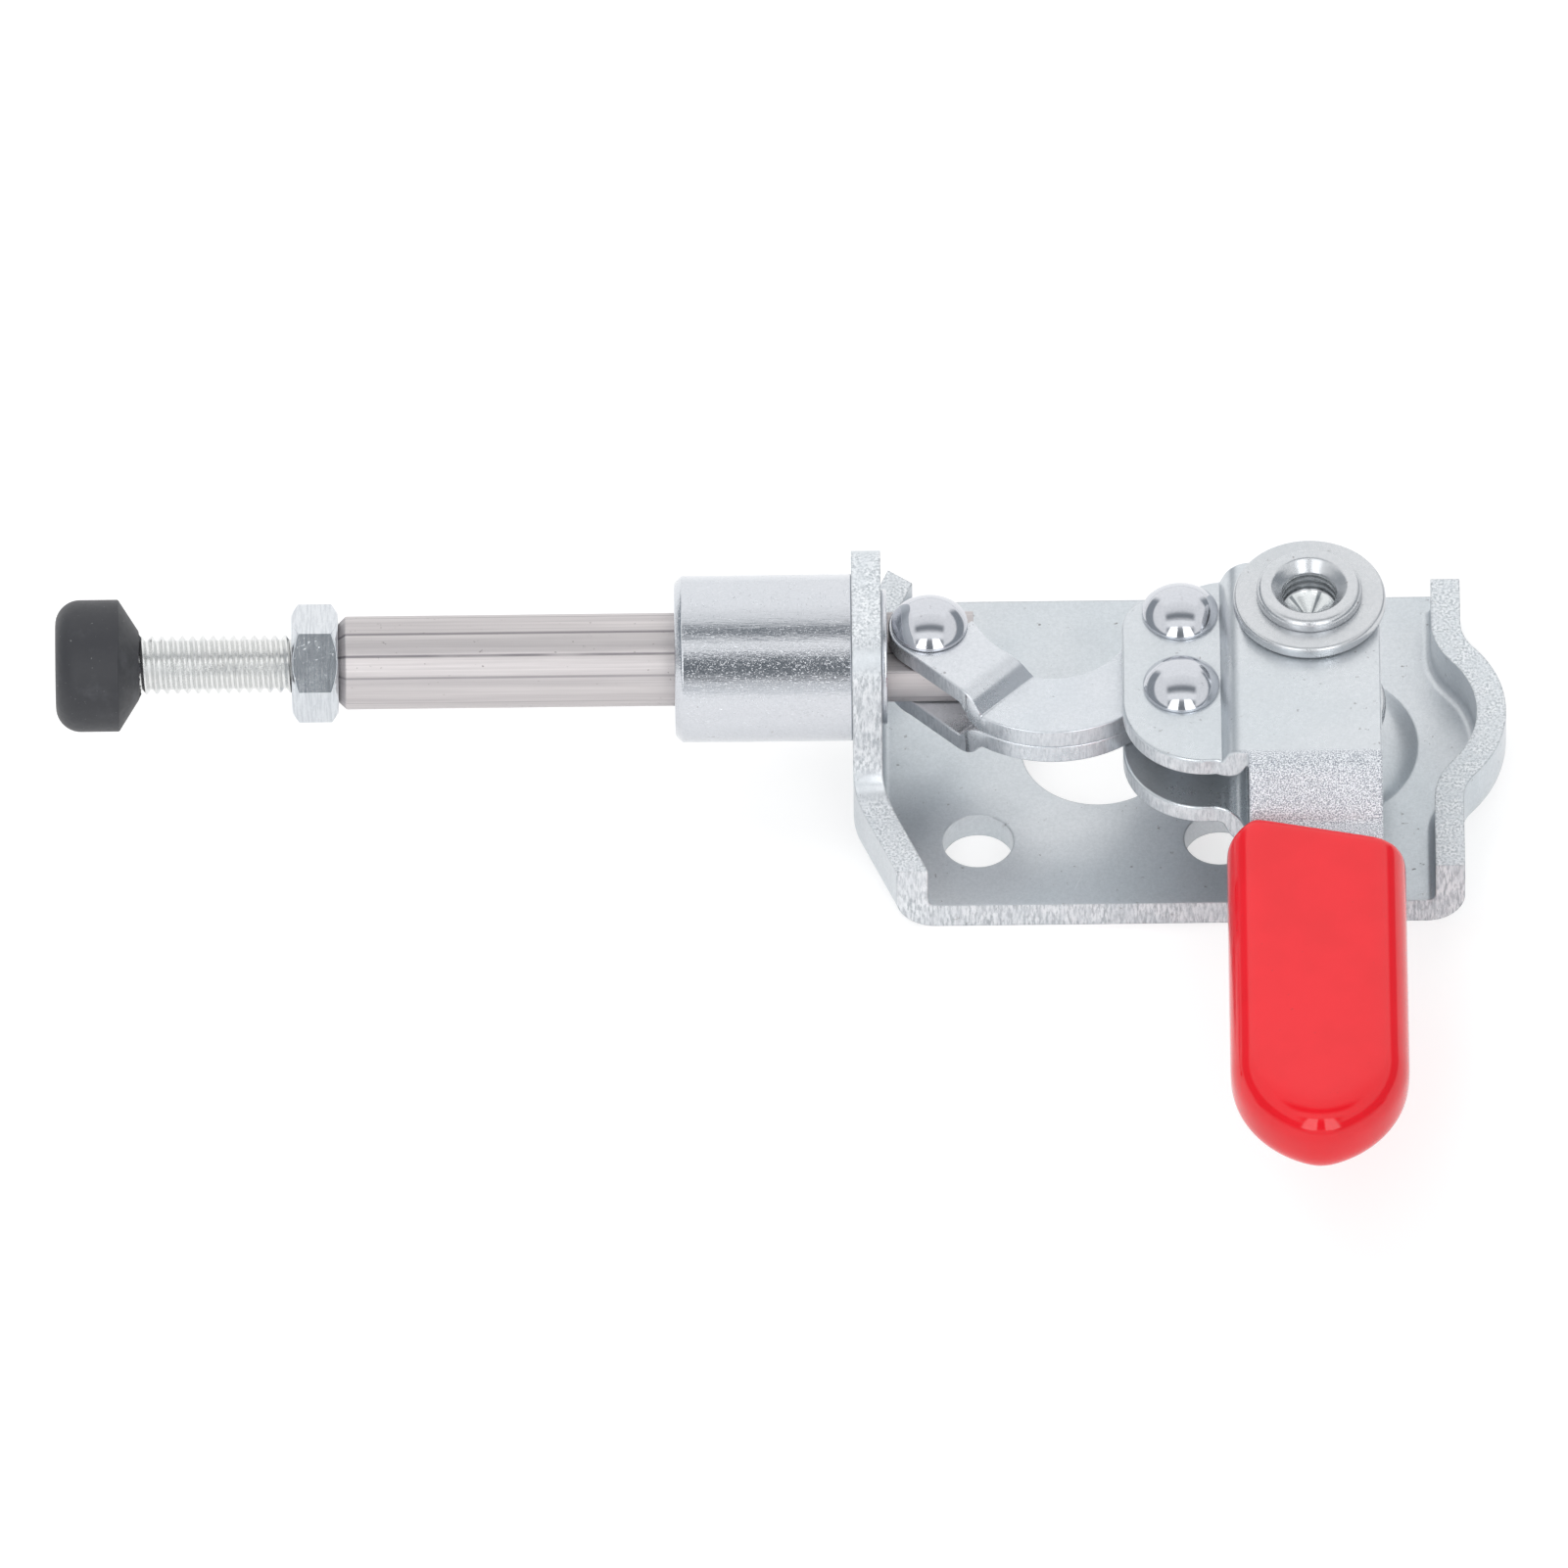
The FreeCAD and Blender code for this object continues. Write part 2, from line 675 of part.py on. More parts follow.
def trim(body, name, corners, reach, height):
    """Cut away all that lies outside an outline, as a blanking die does."""
    sketch = new_sketch(body, name, "XY_Plane")
    box_outline(sketch, -reach, -reach, reach, reach)
    outline(sketch, corners)
    cut(body, sketch, height, both_ways=True)


def mirrored(label, source):
    """The lower twin of an upper piece, mirrored through the plunger axis."""
    twin = doc.addObject("Part::Mirroring", label)
    twin.Label = label
    twin.Source = source
    twin.Normal = FreeCAD.Vector(0, 0, 1)
    bind(twin, "Base.z", s.axis_height)
    doc.recompute()
    return twin


# Each link is a bent strip: an eye at the plunger rivet, a diagonal arm with a joggle, an arch that
# leaves room for the pivot spacer when the clamp is open, and an eye at the handle's rivet. Its
# outline is worked out along the locked clamp from the plunger rivet, then turned into the frame
# of the diagonal arm.
arm_cos = named("arm_cos", cosine(s.arm_angle))
arm_sin = named("arm_sin", sine(s.arm_angle))


def swung(corner):
    x, y = length(corner[0]), length(corner[1])
    return (x * arm_cos + y * arm_sin, y * arm_cos - x * arm_sin) + tuple(corner[2:])


def named_point(alias, x, y):
    return named(alias + "_x", x), named(alias + "_y", y)


def crossing(name, x, y, side):
    """Unit normal of the straight edge that crosses from an eye at x, y to the arch's hollow."""
    dx, dy = s.link_arch_x - x, s.link_hollow_y - y
    gap = named(name + "_gap", root(dx * dx + dy * dy))
    share = named(name + "_share", (s.link_eye + s.link_hollow_radius) / gap)
    rest = named(name + "_rest", root(1 - share * share) * side)
    return named_point(name, (dx * share - dy * rest) / gap, (dy * share + dx * rest) / gap)


eye = s.link_eye
arch_gap = named("arch_gap", root(s.link_arch_x * s.link_arch_x + s.link_arch_y * s.link_arch_y))
arch_dx, arch_dy = named_point("arch_way", s.link_arch_x / arch_gap, s.link_arch_y / arch_gap)
lean = named("arm_lean", (s.link_arch_radius - eye) / arch_gap)
upright = named("arm_upright", root(1 - lean * lean))
side_x, side_y = named_point(
    "arm_side", arch_dy * upright - arch_dx * lean, -arch_dx * upright - arch_dy * lean
)
pin_nx, pin_ny = crossing("pin_side", Z0, Z0, 1)
joint_nx, joint_ny = crossing("joint_side", link_reach, s.over_centre, -1)

# The arch's outer arc runs into the eye at the handle's rivet where the two circles cross.
eye_x, eye_y = named_point("eye_off", link_reach - s.link_arch_x, s.over_centre - s.link_arch_y)
eye_gap = named("eye_gap", root(eye_x * eye_x + eye_y * eye_y))
arch_sum = s.link_arch_radius * s.link_arch_radius + eye_gap * eye_gap - eye * eye
chord = named("crossing_chord", arch_sum / (2 * eye_gap) / eye_gap)
bulge = named(
    "crossing_bulge",
    root(s.link_arch_radius * s.link_arch_radius / (eye_gap * eye_gap) - chord * chord),
)
diagonal = math.sqrt(0.5)
hollow_radius = s.link_hollow_radius
link_outline = [
    (eye * side_x, eye * side_y),
    (s.link_arch_x + s.link_arch_radius * side_x, s.link_arch_y + s.link_arch_radius * side_y,
     s.link_arch_radius, 1),
    (s.link_arch_x + eye_x * chord + eye_y * bulge, s.link_arch_y + eye_y * chord - eye_x * bulge,
     eye, 1),
    (link_reach + eye * diagonal, s.over_centre + eye * diagonal, eye, 1),
    (link_reach + eye * joint_nx, s.over_centre + eye * joint_ny),
    (s.link_arch_x - hollow_radius * joint_nx, s.link_hollow_y - hollow_radius * joint_ny,
     hollow_radius, -1),
    (s.link_arch_x - hollow_radius * pin_nx, s.link_hollow_y - hollow_radius * pin_ny),
    (eye * pin_nx, eye * pin_ny, eye, 1),
    (-eye * 0.6, eye * 0.8, eye, 1),
]

link_upper = new_body("link_upper", -s.plunger_pin_x, 0, s.axis_height, turn=s.arm_angle)
strip_end = named("strip_end", link_reach + s.link_arch_radius)
link_run = named(
    "link_run", joggle_run(link_inner, s.link_thick, s.link_bend_inside, s.link_joggle_angle)
)
under, over = joggle(
    s.link_joggle_start + link_run, Z0, link_inner, s.link_thick, s.link_bend_inside,
    s.link_joggle_angle, -1
)
strip = new_sketch(link_upper, "StripSection", "XZ_Plane")
outline(strip, [
    (strip_end, 0), *under, (-strip_end, link_inner),
    (-strip_end, link_outer), *over, (strip_end, s.link_thick),
])
pad(link_upper, strip, strip_end * 2, both_ways=True)
trim(link_upper, "LinkOutline", [swung(c) for c in link_outline], strip_end + 4, s.axis_height)
joint_bore = new_sketch(link_upper, "JointBore", "XY_Plane")
round_hole(joint_bore, *swung((link_reach, s.over_centre)), s.rivet_shank + s.turn_gap)
cut(link_upper, joint_bore, s.axis_height, both_ways=True)

# The eye at the plunger rivet is an open hook under the rivet's head. It lets the shank out on the
# way that the linkage takes between locked and open.
hook = named("hook_radius", s.rivet_shank + s.hook_gap)
way_cos = named("hook_way_cos", cosine(s.hook_way))
way_sin = named("hook_way_sin", sine(s.hook_way))
hook_far = eye * 3
hook_eye = new_sketch(link_upper, "RivetHook", "XY_Plane")
outline(hook_eye, [swung(c) for c in [
    (-s.hook_side, hook_far),
    (-s.hook_side, hook * 0.7),
    (-hook, 0, hook, 1),
    (hook * way_sin, -hook * way_cos),
    (hook * way_sin + hook_far * way_cos, hook_far * way_sin - hook * way_cos),
    (hook * way_sin + hook_far * way_cos, hook_far),
]])
cut(link_upper, hook_eye, s.axis_height, both_ways=True)
mirrored("link_lower", link_upper)


# The handle is two bent plates back to back. Each has a panel over the pivot, an ear that steps down
# to the links, and a slope down to a tang; the two tangs lie flat together inside the grip.
tang_centre_x = named("tang_centre_x", (s.panel_radius - s.panel_left) / 2)
tang_half = named("tang_half", (s.panel_radius + s.panel_left) / 2)
slope_run = named(
    "slope_run", joggle_run(panel_inner, s.handle_thick, s.slope_bend_inside, s.slope_angle)
)
ear_rise = named("ear_rise", panel_inner - ear_inner)
ear_run = named(
    "ear_run", joggle_run(ear_rise, s.handle_thick, s.handle_bend_inside, s.joggle_angle)
)
ear_joggle_x = named("ear_joggle_x", s.panel_left + ear_run)
back_y = s.panel_radius + 1
handle_upper = new_body("handle_upper_plate", s.pivot_x, 0, s.axis_height)
panel_section = new_sketch(handle_upper, "PanelSection", "YZ_Plane", lift=-s.panel_left)
under, over = joggle(
    -s.slope_start - slope_run, Z0, panel_inner, s.handle_thick, s.slope_bend_inside,
    s.slope_angle, 1
)
outline(panel_section, [
    (-s.tang_end - 1, 0), *under, (back_y, panel_inner),
    (back_y, panel_outer), *over, (-s.tang_end - 1, s.handle_thick),
])
pad(handle_upper, panel_section, tang_half * 2)
ear_section = new_sketch(handle_upper, "EarSection", "XZ_Plane", lift=-back_y)
under, over = joggle(
    -ear_joggle_x, ear_inner, ear_rise, s.handle_thick, s.handle_bend_inside, s.joggle_angle, 1
)
outline(ear_section, [
    (-s.ear_left - 1, ear_inner), *under, *over, (-s.ear_left - 1, ear_outer),
])
pad(handle_upper, ear_section, back_y + s.slope_start)


def tang_outline(gap, mouth_y):
    """The tang's sides and round end, widened by a gap, open at its mouth end."""
    left, right = tang_centre_x - tang_half - gap, tang_centre_x + tang_half + gap
    round_y = -s.tang_end + tang_half
    return [
        (left, mouth_y),
        (left, round_y, tang_half + gap, 1),
        (tang_centre_x, -s.tang_end - gap, tang_half + gap, 1),
        (right, round_y),
        (right, mouth_y),
    ]


panel_cos = cosine(s.panel_shoulder)
panel_sin = sine(s.panel_shoulder)
corner_y = named("ear_corner_y", s.ear_back_left - s.ear_corner)
trim(handle_upper, "HandleOutline", [
    *tang_outline(Z0, -s.slope_start)[:-1],
    (s.panel_radius, 0, s.panel_radius, 1),
    (s.panel_radius * panel_cos, s.panel_radius * panel_sin),
    (-s.ear_back_x, s.ear_back_right),
    (-s.ear_left + s.ear_corner * 0.6, s.ear_back_left, s.ear_corner, 1),
    (-s.ear_left, corner_y),
    (-s.ear_left, -s.ear_foot, s.ear_foot_radius, 1),
    (-s.ear_front_x, -s.ear_front),
], s.tang_end + 6, s.axis_height * 2)
rivet_holes = new_sketch(handle_upper, "Holes", "XY_Plane")
round_hole(rivet_holes, 0, 0, s.stud_radius + s.turn_gap)
round_hole(rivet_holes, -pin_arm, s.over_centre, s.rivet_shank + s.seat_gap)
round_hole(rivet_holes, -pin_arm, s.over_centre - s.stop_pin_setback, s.rivet_shank + s.seat_gap)
cut(handle_upper, rivet_holes, s.axis_height, both_ways=True)
mirrored("handle_lower_plate", handle_upper)

# The grip is a moulded sleeve over both tangs, cut slanting at its mouth and ending in a soft point.
grip = new_body("handle_grip", s.pivot_x, 0, s.axis_height)
grip_plan = new_sketch(grip, "GripOutline", "XY_Plane")
grip_left = s.grip_centre_x - s.grip_half
grip_right = s.grip_centre_x + s.grip_half
end_lean = s.grip_end_radius - s.grip_half
end_rise = named("grip_end_rise", root(s.grip_end_radius * s.grip_end_radius - end_lean * end_lean))
outline(grip_plan, [
    (grip_left, -s.grip_mouth),
    (grip_left, -s.grip_end + end_rise, s.grip_end_radius, 1),
    (s.grip_centre_x, -s.grip_end, s.grip_end_radius, 1),
    (grip_right, -s.grip_end + end_rise),
    (grip_right, -s.grip_mouth - s.grip_mouth_slant),
    (-s.grip_mouth_peak, -s.grip_mouth + s.grip_mouth_rise),
])
pad(grip, grip_plan, s.grip_thick, both_ways=True)


def grip_point(edge):
    box = edge.BoundBox
    return at(box.YMin, -s.grip_end) and at(box.YMax, -s.grip_end) and box.ZLength > 1


dress(grip, "Fillet", grip_point, s.grip_nose, "Radius")


def grip_rims(edge):
    """The edges round the top and bottom faces, without those of the mouth."""
    box = edge.BoundBox
    return box.ZLength < 1e-4 and box.YMin < -s.grip_mouth.number - s.grip_mouth_slant.number - 1


dress(grip, "Fillet", grip_rims, s.grip_edge, "Radius")
tang_slot = new_sketch(grip, "TangSlot", "XY_Plane")
outline(tang_slot, tang_outline(s.grip_gap, -s.slope_start))
cut(grip, tang_slot, (s.handle_thick + s.grip_gap) * 2, both_ways=True)


# Domed rivets: one holds the links to the plunger's tongue, one to the handle, and one is the stop
# that the links meet when the clamp locks.
def rivet(label, x, y, seat):
    body = new_body(label, x, y, s.axis_height)
    side = new_sketch(body, "HalfSection", "XZ_Plane")
    dome = s.rivet_head_height - s.rivet_rim
    dome_radius = (s.rivet_head_radius * s.rivet_head_radius + dome * dome) / (2 * dome)
    top = seat + s.rivet_head_height
    rim = seat + s.rivet_rim
    outline(side, [
        (0, -top, dome_radius, 1),
        (s.rivet_head_radius, -rim),
        (s.rivet_head_radius, -seat),
        (s.rivet_shank, -seat),
        (s.rivet_shank, seat),
        (s.rivet_head_radius, seat),
        (s.rivet_head_radius, rim, dome_radius, 1),
        (0, top),
    ])
    turned(body, "Revolution", side, "V_Axis")


rivet("plunger_rivet", -s.plunger_pin_x, 0, link_outer + s.turn_gap)
rivet("link_rivet", s.link_pin_x, s.over_centre, ear_outer)
rivet("stop_rivet", s.link_pin_x, s.over_centre - s.stop_pin_setback, ear_outer)

# The pivot stud stands on a shoulder and is riveted at both ends: a flat tail inside the emboss, and
# a rolled lip round a countersunk centre on top.
stud = new_body("pivot_stud", s.pivot_x)
stud_side = new_sketch(stud, "HalfSection", "XZ_Plane")
lip_foot = named("lip_foot", s.axis_height + lip_z)
lip_top = named("lip_top", lip_foot + s.stud_lip_height)
washer_seat = named("washer_seat", s.axis_height - lip_z)
outline(stud_side, [
    (0, s.emboss_height - s.stud_tail_thick),
    (s.stud_tail_radius, s.emboss_height - s.stud_tail_thick),
    (s.stud_tail_radius, s.emboss_height),
    (s.stud_radius, s.emboss_height),
    (s.stud_radius, emboss_top),
    (s.stud_shoulder, emboss_top),
    (s.stud_shoulder, washer_seat),
    (s.stud_radius, washer_seat),
    (s.stud_radius, lip_foot),
    (s.stud_lip_radius, lip_foot),
    (s.stud_lip_radius, lip_top - s.stud_lip_round, s.stud_lip_round, 1),
    (s.stud_lip_radius - s.stud_lip_round, lip_top),
    (s.stud_mouth, lip_top),
    (s.stud_bore, lip_top - s.stud_mouth + s.stud_bore),
    (s.stud_bore, lip_top - s.stud_bore_depth),
    (s.stud_point, lip_top - s.stud_bore_depth - s.stud_cone_depth),
    (0, lip_top - s.stud_bore_depth - s.stud_cone_depth),
])
turned(stud, "Revolution", stud_side, "V_Axis")


def ring(label, foot, height, radius, edge):
    """A turned ring on the pivot stud, with its outer edges rounded."""
    body = new_body(label, s.pivot_x, 0, foot)
    side = new_sketch(body, "HalfSection", "XZ_Plane")
    outline(side, [
        (s.stud_radius + s.turn_gap, 0),
        (radius - edge, 0, edge, 1),
        (radius, edge),
        (radius, height - edge, edge, 1),
        (radius - edge, height),
        (s.stud_radius + s.turn_gap, height),
    ])
    turned(body, "Revolution", side, "V_Axis")


ring("pivot_washer_lower", washer_seat, s.washer_thick, s.washer_radius, s.washer_edge)
ring("pivot_washer_top", lip_foot - s.washer_thick, s.washer_thick, s.washer_radius, s.washer_edge)
ring("pivot_spacer", s.axis_height - panel_inner, panel_inner * 2, s.spacer_radius, s.washer_edge)

PIECES = [
    "base_frame", "guide_sleeve", "pivot_stud", "pivot_washer_lower", "pivot_washer_top",
    "handle_upper_plate", "handle_lower_plate", "handle_grip", "pivot_spacer", "link_rivet",
    "stop_rivet", "link_upper", "link_lower", "plunger_rod", "plunger_rivet", "lock_nut",
    "spindle_screw", "rubber_tip",
]
doc.recompute()
for thing in doc.Objects:
    if "Invalid" in thing.State or "Error" in thing.State:
        raise RuntimeError(f"{thing.Label} failed: {thing.State}")
pieces = {name: doc.getObjectsByLabel(name)[0] for name in PIECES}
for name, piece in pieces.items():
    shape = piece.Shape
    if shape.isNull() or not shape.isValid() or len(shape.Solids) != 1:
        raise RuntimeError(f"{name} is not one valid solid")
os.makedirs("parts", exist_ok=True)
for name, piece in pieces.items():
    piece.Shape.exportStep(f"parts/{name}.step")
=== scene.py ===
import math
import bmesh
import bpy
from mathutils import Matrix, Vector


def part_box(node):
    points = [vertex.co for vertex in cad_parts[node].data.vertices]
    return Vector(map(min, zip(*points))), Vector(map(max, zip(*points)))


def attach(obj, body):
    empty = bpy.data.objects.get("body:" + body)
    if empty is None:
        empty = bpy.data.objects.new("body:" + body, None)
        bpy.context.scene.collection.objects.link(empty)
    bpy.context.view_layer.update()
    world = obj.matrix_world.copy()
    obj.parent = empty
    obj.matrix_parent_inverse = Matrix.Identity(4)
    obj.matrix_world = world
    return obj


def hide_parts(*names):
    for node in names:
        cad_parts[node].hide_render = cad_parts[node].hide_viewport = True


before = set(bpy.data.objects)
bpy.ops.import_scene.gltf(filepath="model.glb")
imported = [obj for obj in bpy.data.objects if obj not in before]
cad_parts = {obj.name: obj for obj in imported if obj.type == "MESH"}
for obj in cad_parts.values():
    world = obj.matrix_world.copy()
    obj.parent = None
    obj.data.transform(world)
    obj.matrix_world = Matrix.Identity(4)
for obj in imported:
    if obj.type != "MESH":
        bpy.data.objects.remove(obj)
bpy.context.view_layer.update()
MM = 0.001


# Base: one blanked and bent sheet of 2 mm steel, zinc-plated after forming. Its faces keep the
# mill's fine grain, its sheared edges are torn and burnished, and the plating is a little cloudy.
class Wiring:
    """Adds nodes to one tree. An input given as a socket is linked, anything else is set."""

    def __init__(self, tree):
        self.tree = tree

    def plug(self, socket, value):
        if isinstance(value, bpy.types.NodeSocket):
            self.tree.links.new(value, socket)
        else:
            socket.default_value = value

    def node(self, kind, settings=None, **inputs):
        made = self.tree.nodes.new("ShaderNode" + kind)
        for name, value in (settings or {}).items():
            setattr(made, name, value)
        for name, value in inputs.items():
            self.plug(made.inputs[name], value)
        return made

    def fed(self, made, *values):
        """The first output of a node whose inputs get the values in order."""
        for socket, value in zip(made.inputs, values):
            self.plug(socket, value)
        return made.outputs[0]

    def maths(self, operation, *values, clamp=False):
        return self.fed(self.node("Math", {"operation": operation, "use_clamp": clamp}), *values)

    def times(self, first, second):
        return self.maths("MULTIPLY", first, second)

    def plus(self, first, second):
        return self.maths("ADD", first, second)

    def minus(self, first, second):
        return self.maths("SUBTRACT", first, second)

    def strongest(self, masks):
        """The largest of several masks at each place."""
        result = masks[0]
        for mask in masks[1:]:
            result = self.maths("MAXIMUM", result, mask)
        return result

    def mix(self, share, first, second, blend="MIX"):
        """A Mix node's sockets 0, 6 and 7 are its share and its two colours."""
        made = self.node("Mix", {"data_type": "RGBA", "blend_type": blend})
        for index, value in ((0, share), (6, first), (7, second)):
            self.plug(made.inputs[index], value)
        return made.outputs[2]

    def step(self, value, low, high, to_low=0.0, to_high=1.0):
        """Runs smoothly from to_low where the value is low to to_high where it is high."""
        made = self.node("MapRange", {"interpolation_type": "SMOOTHSTEP"})
        return self.fed(made, value, low, high, to_low, to_high)

    def place(self, vector, turn=(0, 0, 0), stretch=(1, 1, 1), shift=(0, 0, 0)):
        """A Mapping node stretches first, then turns, then shifts."""
        return self.fed(self.node("Mapping"), vector, shift, turn, stretch)

    def noise(self, vector, scale=1.0, detail=2.0, roughness=0.5):
        made = self.node(
            "TexNoise", Vector=vector, Scale=scale, Detail=detail, Roughness=roughness
        )
        return made.outputs[0]

    def parts(self, vector):
        return self.node("SeparateXYZ", Vector=vector).outputs


def colour(red, green, blue):
    """A colour as a screen shows it, in 0 to 255, made linear."""
    shares = (red / 255, green / 255, blue / 255)
    linear = (v / 12.92 if v <= 0.04045 else ((v + 0.055) / 1.055) ** 2.4 for v in shares)
    return (*linear, 1)


def effect(name, inputs, outputs):
    """An empty shader node group with named inputs and outputs: the group, the wiring to fill it,
    the place on the piece, and the inputs as they are given to it."""
    tree = bpy.data.node_groups.new(name, "ShaderNodeTree")
    kinds = {"colour": "NodeSocketColor", "number": "NodeSocketFloat"}
    for label, value in inputs.items():
        kind = "number" if isinstance(value, float) else "colour"
        socket = tree.interface.new_socket(label, in_out="INPUT", socket_type=kinds[kind])
        socket.default_value = value
    for label, kind in outputs.items():
        tree.interface.new_socket(label, in_out="OUTPUT", socket_type=kinds[kind])
    wiring = Wiring(tree)
    place_on_piece = wiring.node("TexCoord").outputs["Object"]
    return tree, wiring, place_on_piece, tree.nodes.new("NodeGroupInput").outputs


def give(wiring, **results):
    """Ends a group: each result goes to the output of its name."""
    made = wiring.tree.nodes.new("NodeGroupOutput")
    for name, value in results.items():
        wiring.plug(made.inputs[name], value)


def scratch(wiring, spot, turn, stretch, seed, rare):
    """Fine lines that run one way: the place is turned first, and stretched after that."""
    turned = wiring.place(spot, turn=turn)
    run = wiring.place(turned, stretch=stretch, shift=(seed, seed, seed))
    return wiring.step(wiring.noise(run, detail=1, roughness=0.4), rare, rare + 0.05)


# The plating effect: cloudy tint, fine grain, pits and fine scratches.
bare_steel = (0.6, 0.6, 0.6, 1)
cool_zinc = (0.55, 0.60, 0.62, 1)
warm_zinc = (0.93, 0.965, 0.975, 1)
grain_shade = (0.30, 0.32, 0.34, 1)
speckle_shade = (0.36, 0.40, 0.42, 1)
pit_shade = (0.12, 0.10, 0.09, 1)
scratch_shine = (0.86, 0.88, 0.90, 1)
zinc_scratches = ((0.35, 0.11), (1.9, 0.37), (2.6, 0.71))
surface_outputs = {"Color": "colour", "Roughness": "number", "Height": "number"}
plating, nodes, spot, given = effect(
    "zinc_plating",
    {"Tint": bare_steel, "Cloud": 0.5, "Pits": 0.5, "Scratches": 0.5, "Roughness": 0.35},
    surface_outputs,
)
cloud = nodes.step(nodes.noise(spot, scale=260, detail=4, roughness=0.6), 0.3, 0.7)
wide_cloud = nodes.step(nodes.noise(spot, scale=75, detail=3), 0.35, 0.68)
grain = nodes.noise(spot, scale=7000, roughness=0.6)
speckle_spot = nodes.place(spot, shift=(0.7, 0.2, 0.4))
speckle = nodes.step(nodes.noise(speckle_spot, scale=3400, detail=4, roughness=0.7), 0.36, 0.64)
pit_spot = nodes.place(spot, shift=(0.3, 0.1, 0.2))
pit = nodes.step(nodes.noise(pit_spot, scale=2100, detail=3, roughness=0.55), 0.66, 0.72)
pit = nodes.times(pit, nodes.step(nodes.noise(spot, scale=420, detail=1), 0.46, 0.62))
pit = nodes.times(pit, given["Pits"])
streaks = []
for turn, seed in zinc_scratches:
    streak = scratch(nodes, spot, (0.0, 0.0, turn), (420, 9000, 9000), seed, 0.72)
    gate_spot = nodes.place(spot, shift=(seed * 3, seed, 0))
    gate = nodes.step(nodes.noise(gate_spot, scale=520, detail=1), 0.55, 0.62)
    streaks.append(nodes.times(streak, gate))
streaks = nodes.times(nodes.strongest(streaks), given["Scratches"])
wide_share = nodes.times(wide_cloud, given["Cloud"])
cool = nodes.mix(wide_share, given["Tint"], cool_zinc, "MULTIPLY")
warm = nodes.mix(wide_share, given["Tint"], warm_zinc, "MULTIPLY")
tone = nodes.mix(nodes.times(cloud, nodes.times(given["Cloud"], 0.14)), warm, cool)
tone = nodes.mix(nodes.times(nodes.step(grain, 0.3, 0.7), 0.10), tone, grain_shade)
speckle_share = nodes.times(speckle, nodes.times(given["Cloud"], 0.22))
tone = nodes.mix(speckle_share, tone, speckle_shade)
tone = nodes.mix(nodes.times(pit, 0.75), tone, pit_shade)
tone = nodes.mix(nodes.times(streaks, 0.45), tone, scratch_shine)
rough = nodes.plus(given["Roughness"], nodes.times(nodes.minus(cloud, 0.5), 0.10))
rough = nodes.plus(rough, nodes.times(nodes.minus(grain, 0.5), 0.16))
rough = nodes.maths("ADD", rough, nodes.times(pit, 0.2), clamp=True)
height = nodes.minus(nodes.times(grain, 0.35), pit)
height = nodes.minus(height, nodes.times(streaks, 0.5))
give(nodes, Color=tone, Roughness=rough, Height=height)

# The shear effect: upright tears and burnished patches on a cut edge, where the mask is 1.
tear_shade = (0.31, 0.34, 0.37, 1)
tear_shine = (0.88, 0.90, 0.92, 1)
shear, nodes, spot, given = effect(
    "sheared_edge",
    {"Color": bare_steel, "Roughness": 0.35, "Height": 0.0, "Mask": 0.0},
    surface_outputs,
)
tear_spot = nodes.place(spot, stretch=(5200, 5200, 1100))
tear = nodes.noise(tear_spot, detail=3, roughness=0.65)
patch = nodes.step(nodes.noise(spot, scale=900, detail=3, roughness=0.6), 0.4, 0.62)
torn = nodes.mix(nodes.step(tear, 0.35, 0.62), tear_shade, tear_shine)
torn = nodes.mix(nodes.times(patch, 0.5), torn, given["Color"])
tone = nodes.mix(nodes.times(given["Mask"], 0.7), given["Color"], torn)
rough = nodes.plus(given["Roughness"], nodes.times(given["Mask"], nodes.times(tear, 0.12)))
height = nodes.plus(given["Height"], nodes.times(given["Mask"], nodes.times(tear, 2.2)))
give(nodes, Color=tone, Roughness=rough, Height=height)


def finish(name, metallic=0.9):
    """A new material, its wiring, its texture coordinates, and its shader."""
    made = bpy.data.materials.new(name)
    made.use_nodes = True
    wiring = Wiring(made.node_tree)
    shader = made.node_tree.nodes["Principled BSDF"]
    shader.inputs["Metallic"].default_value = metallic
    return made, wiring, wiring.node("TexCoord").outputs, shader


def plated(wiring, tint, cloud, pits, scratches, roughness):
    """The plating effect in one material, with that piece's own values."""
    made = wiring.node("Group", {"node_tree": plating}, Tint=tint, Cloud=cloud, Pits=pits,
                       Scratches=scratches, Roughness=roughness)
    return made.outputs


def torn_edge(wiring, surface, mask):
    """The shear effect, laid over a surface where the mask is."""
    made = wiring.node("Group", {"node_tree": shear}, Color=surface["Color"],
                       Roughness=surface["Roughness"], Height=surface["Height"], Mask=mask)
    return made.outputs


def cover(wiring, shader, tone, roughness, height, depth, rolled=0.0):
    """Joins a surface to a shader: its height is a bump of the given depth in metres, over edges
    that are shaded as rolled to the given radius."""
    wiring.plug(shader.inputs["Base Color"], tone)
    wiring.plug(shader.inputs["Roughness"], roughness)
    bump = wiring.node("Bump", Strength=1.0, Distance=depth, Height=height)
    if rolled:
        wiring.plug(bump.inputs["Normal"], wiring.node("Bevel", Radius=rolled).outputs[0])
    wiring.plug(shader.inputs["Normal"], bump.outputs[0])


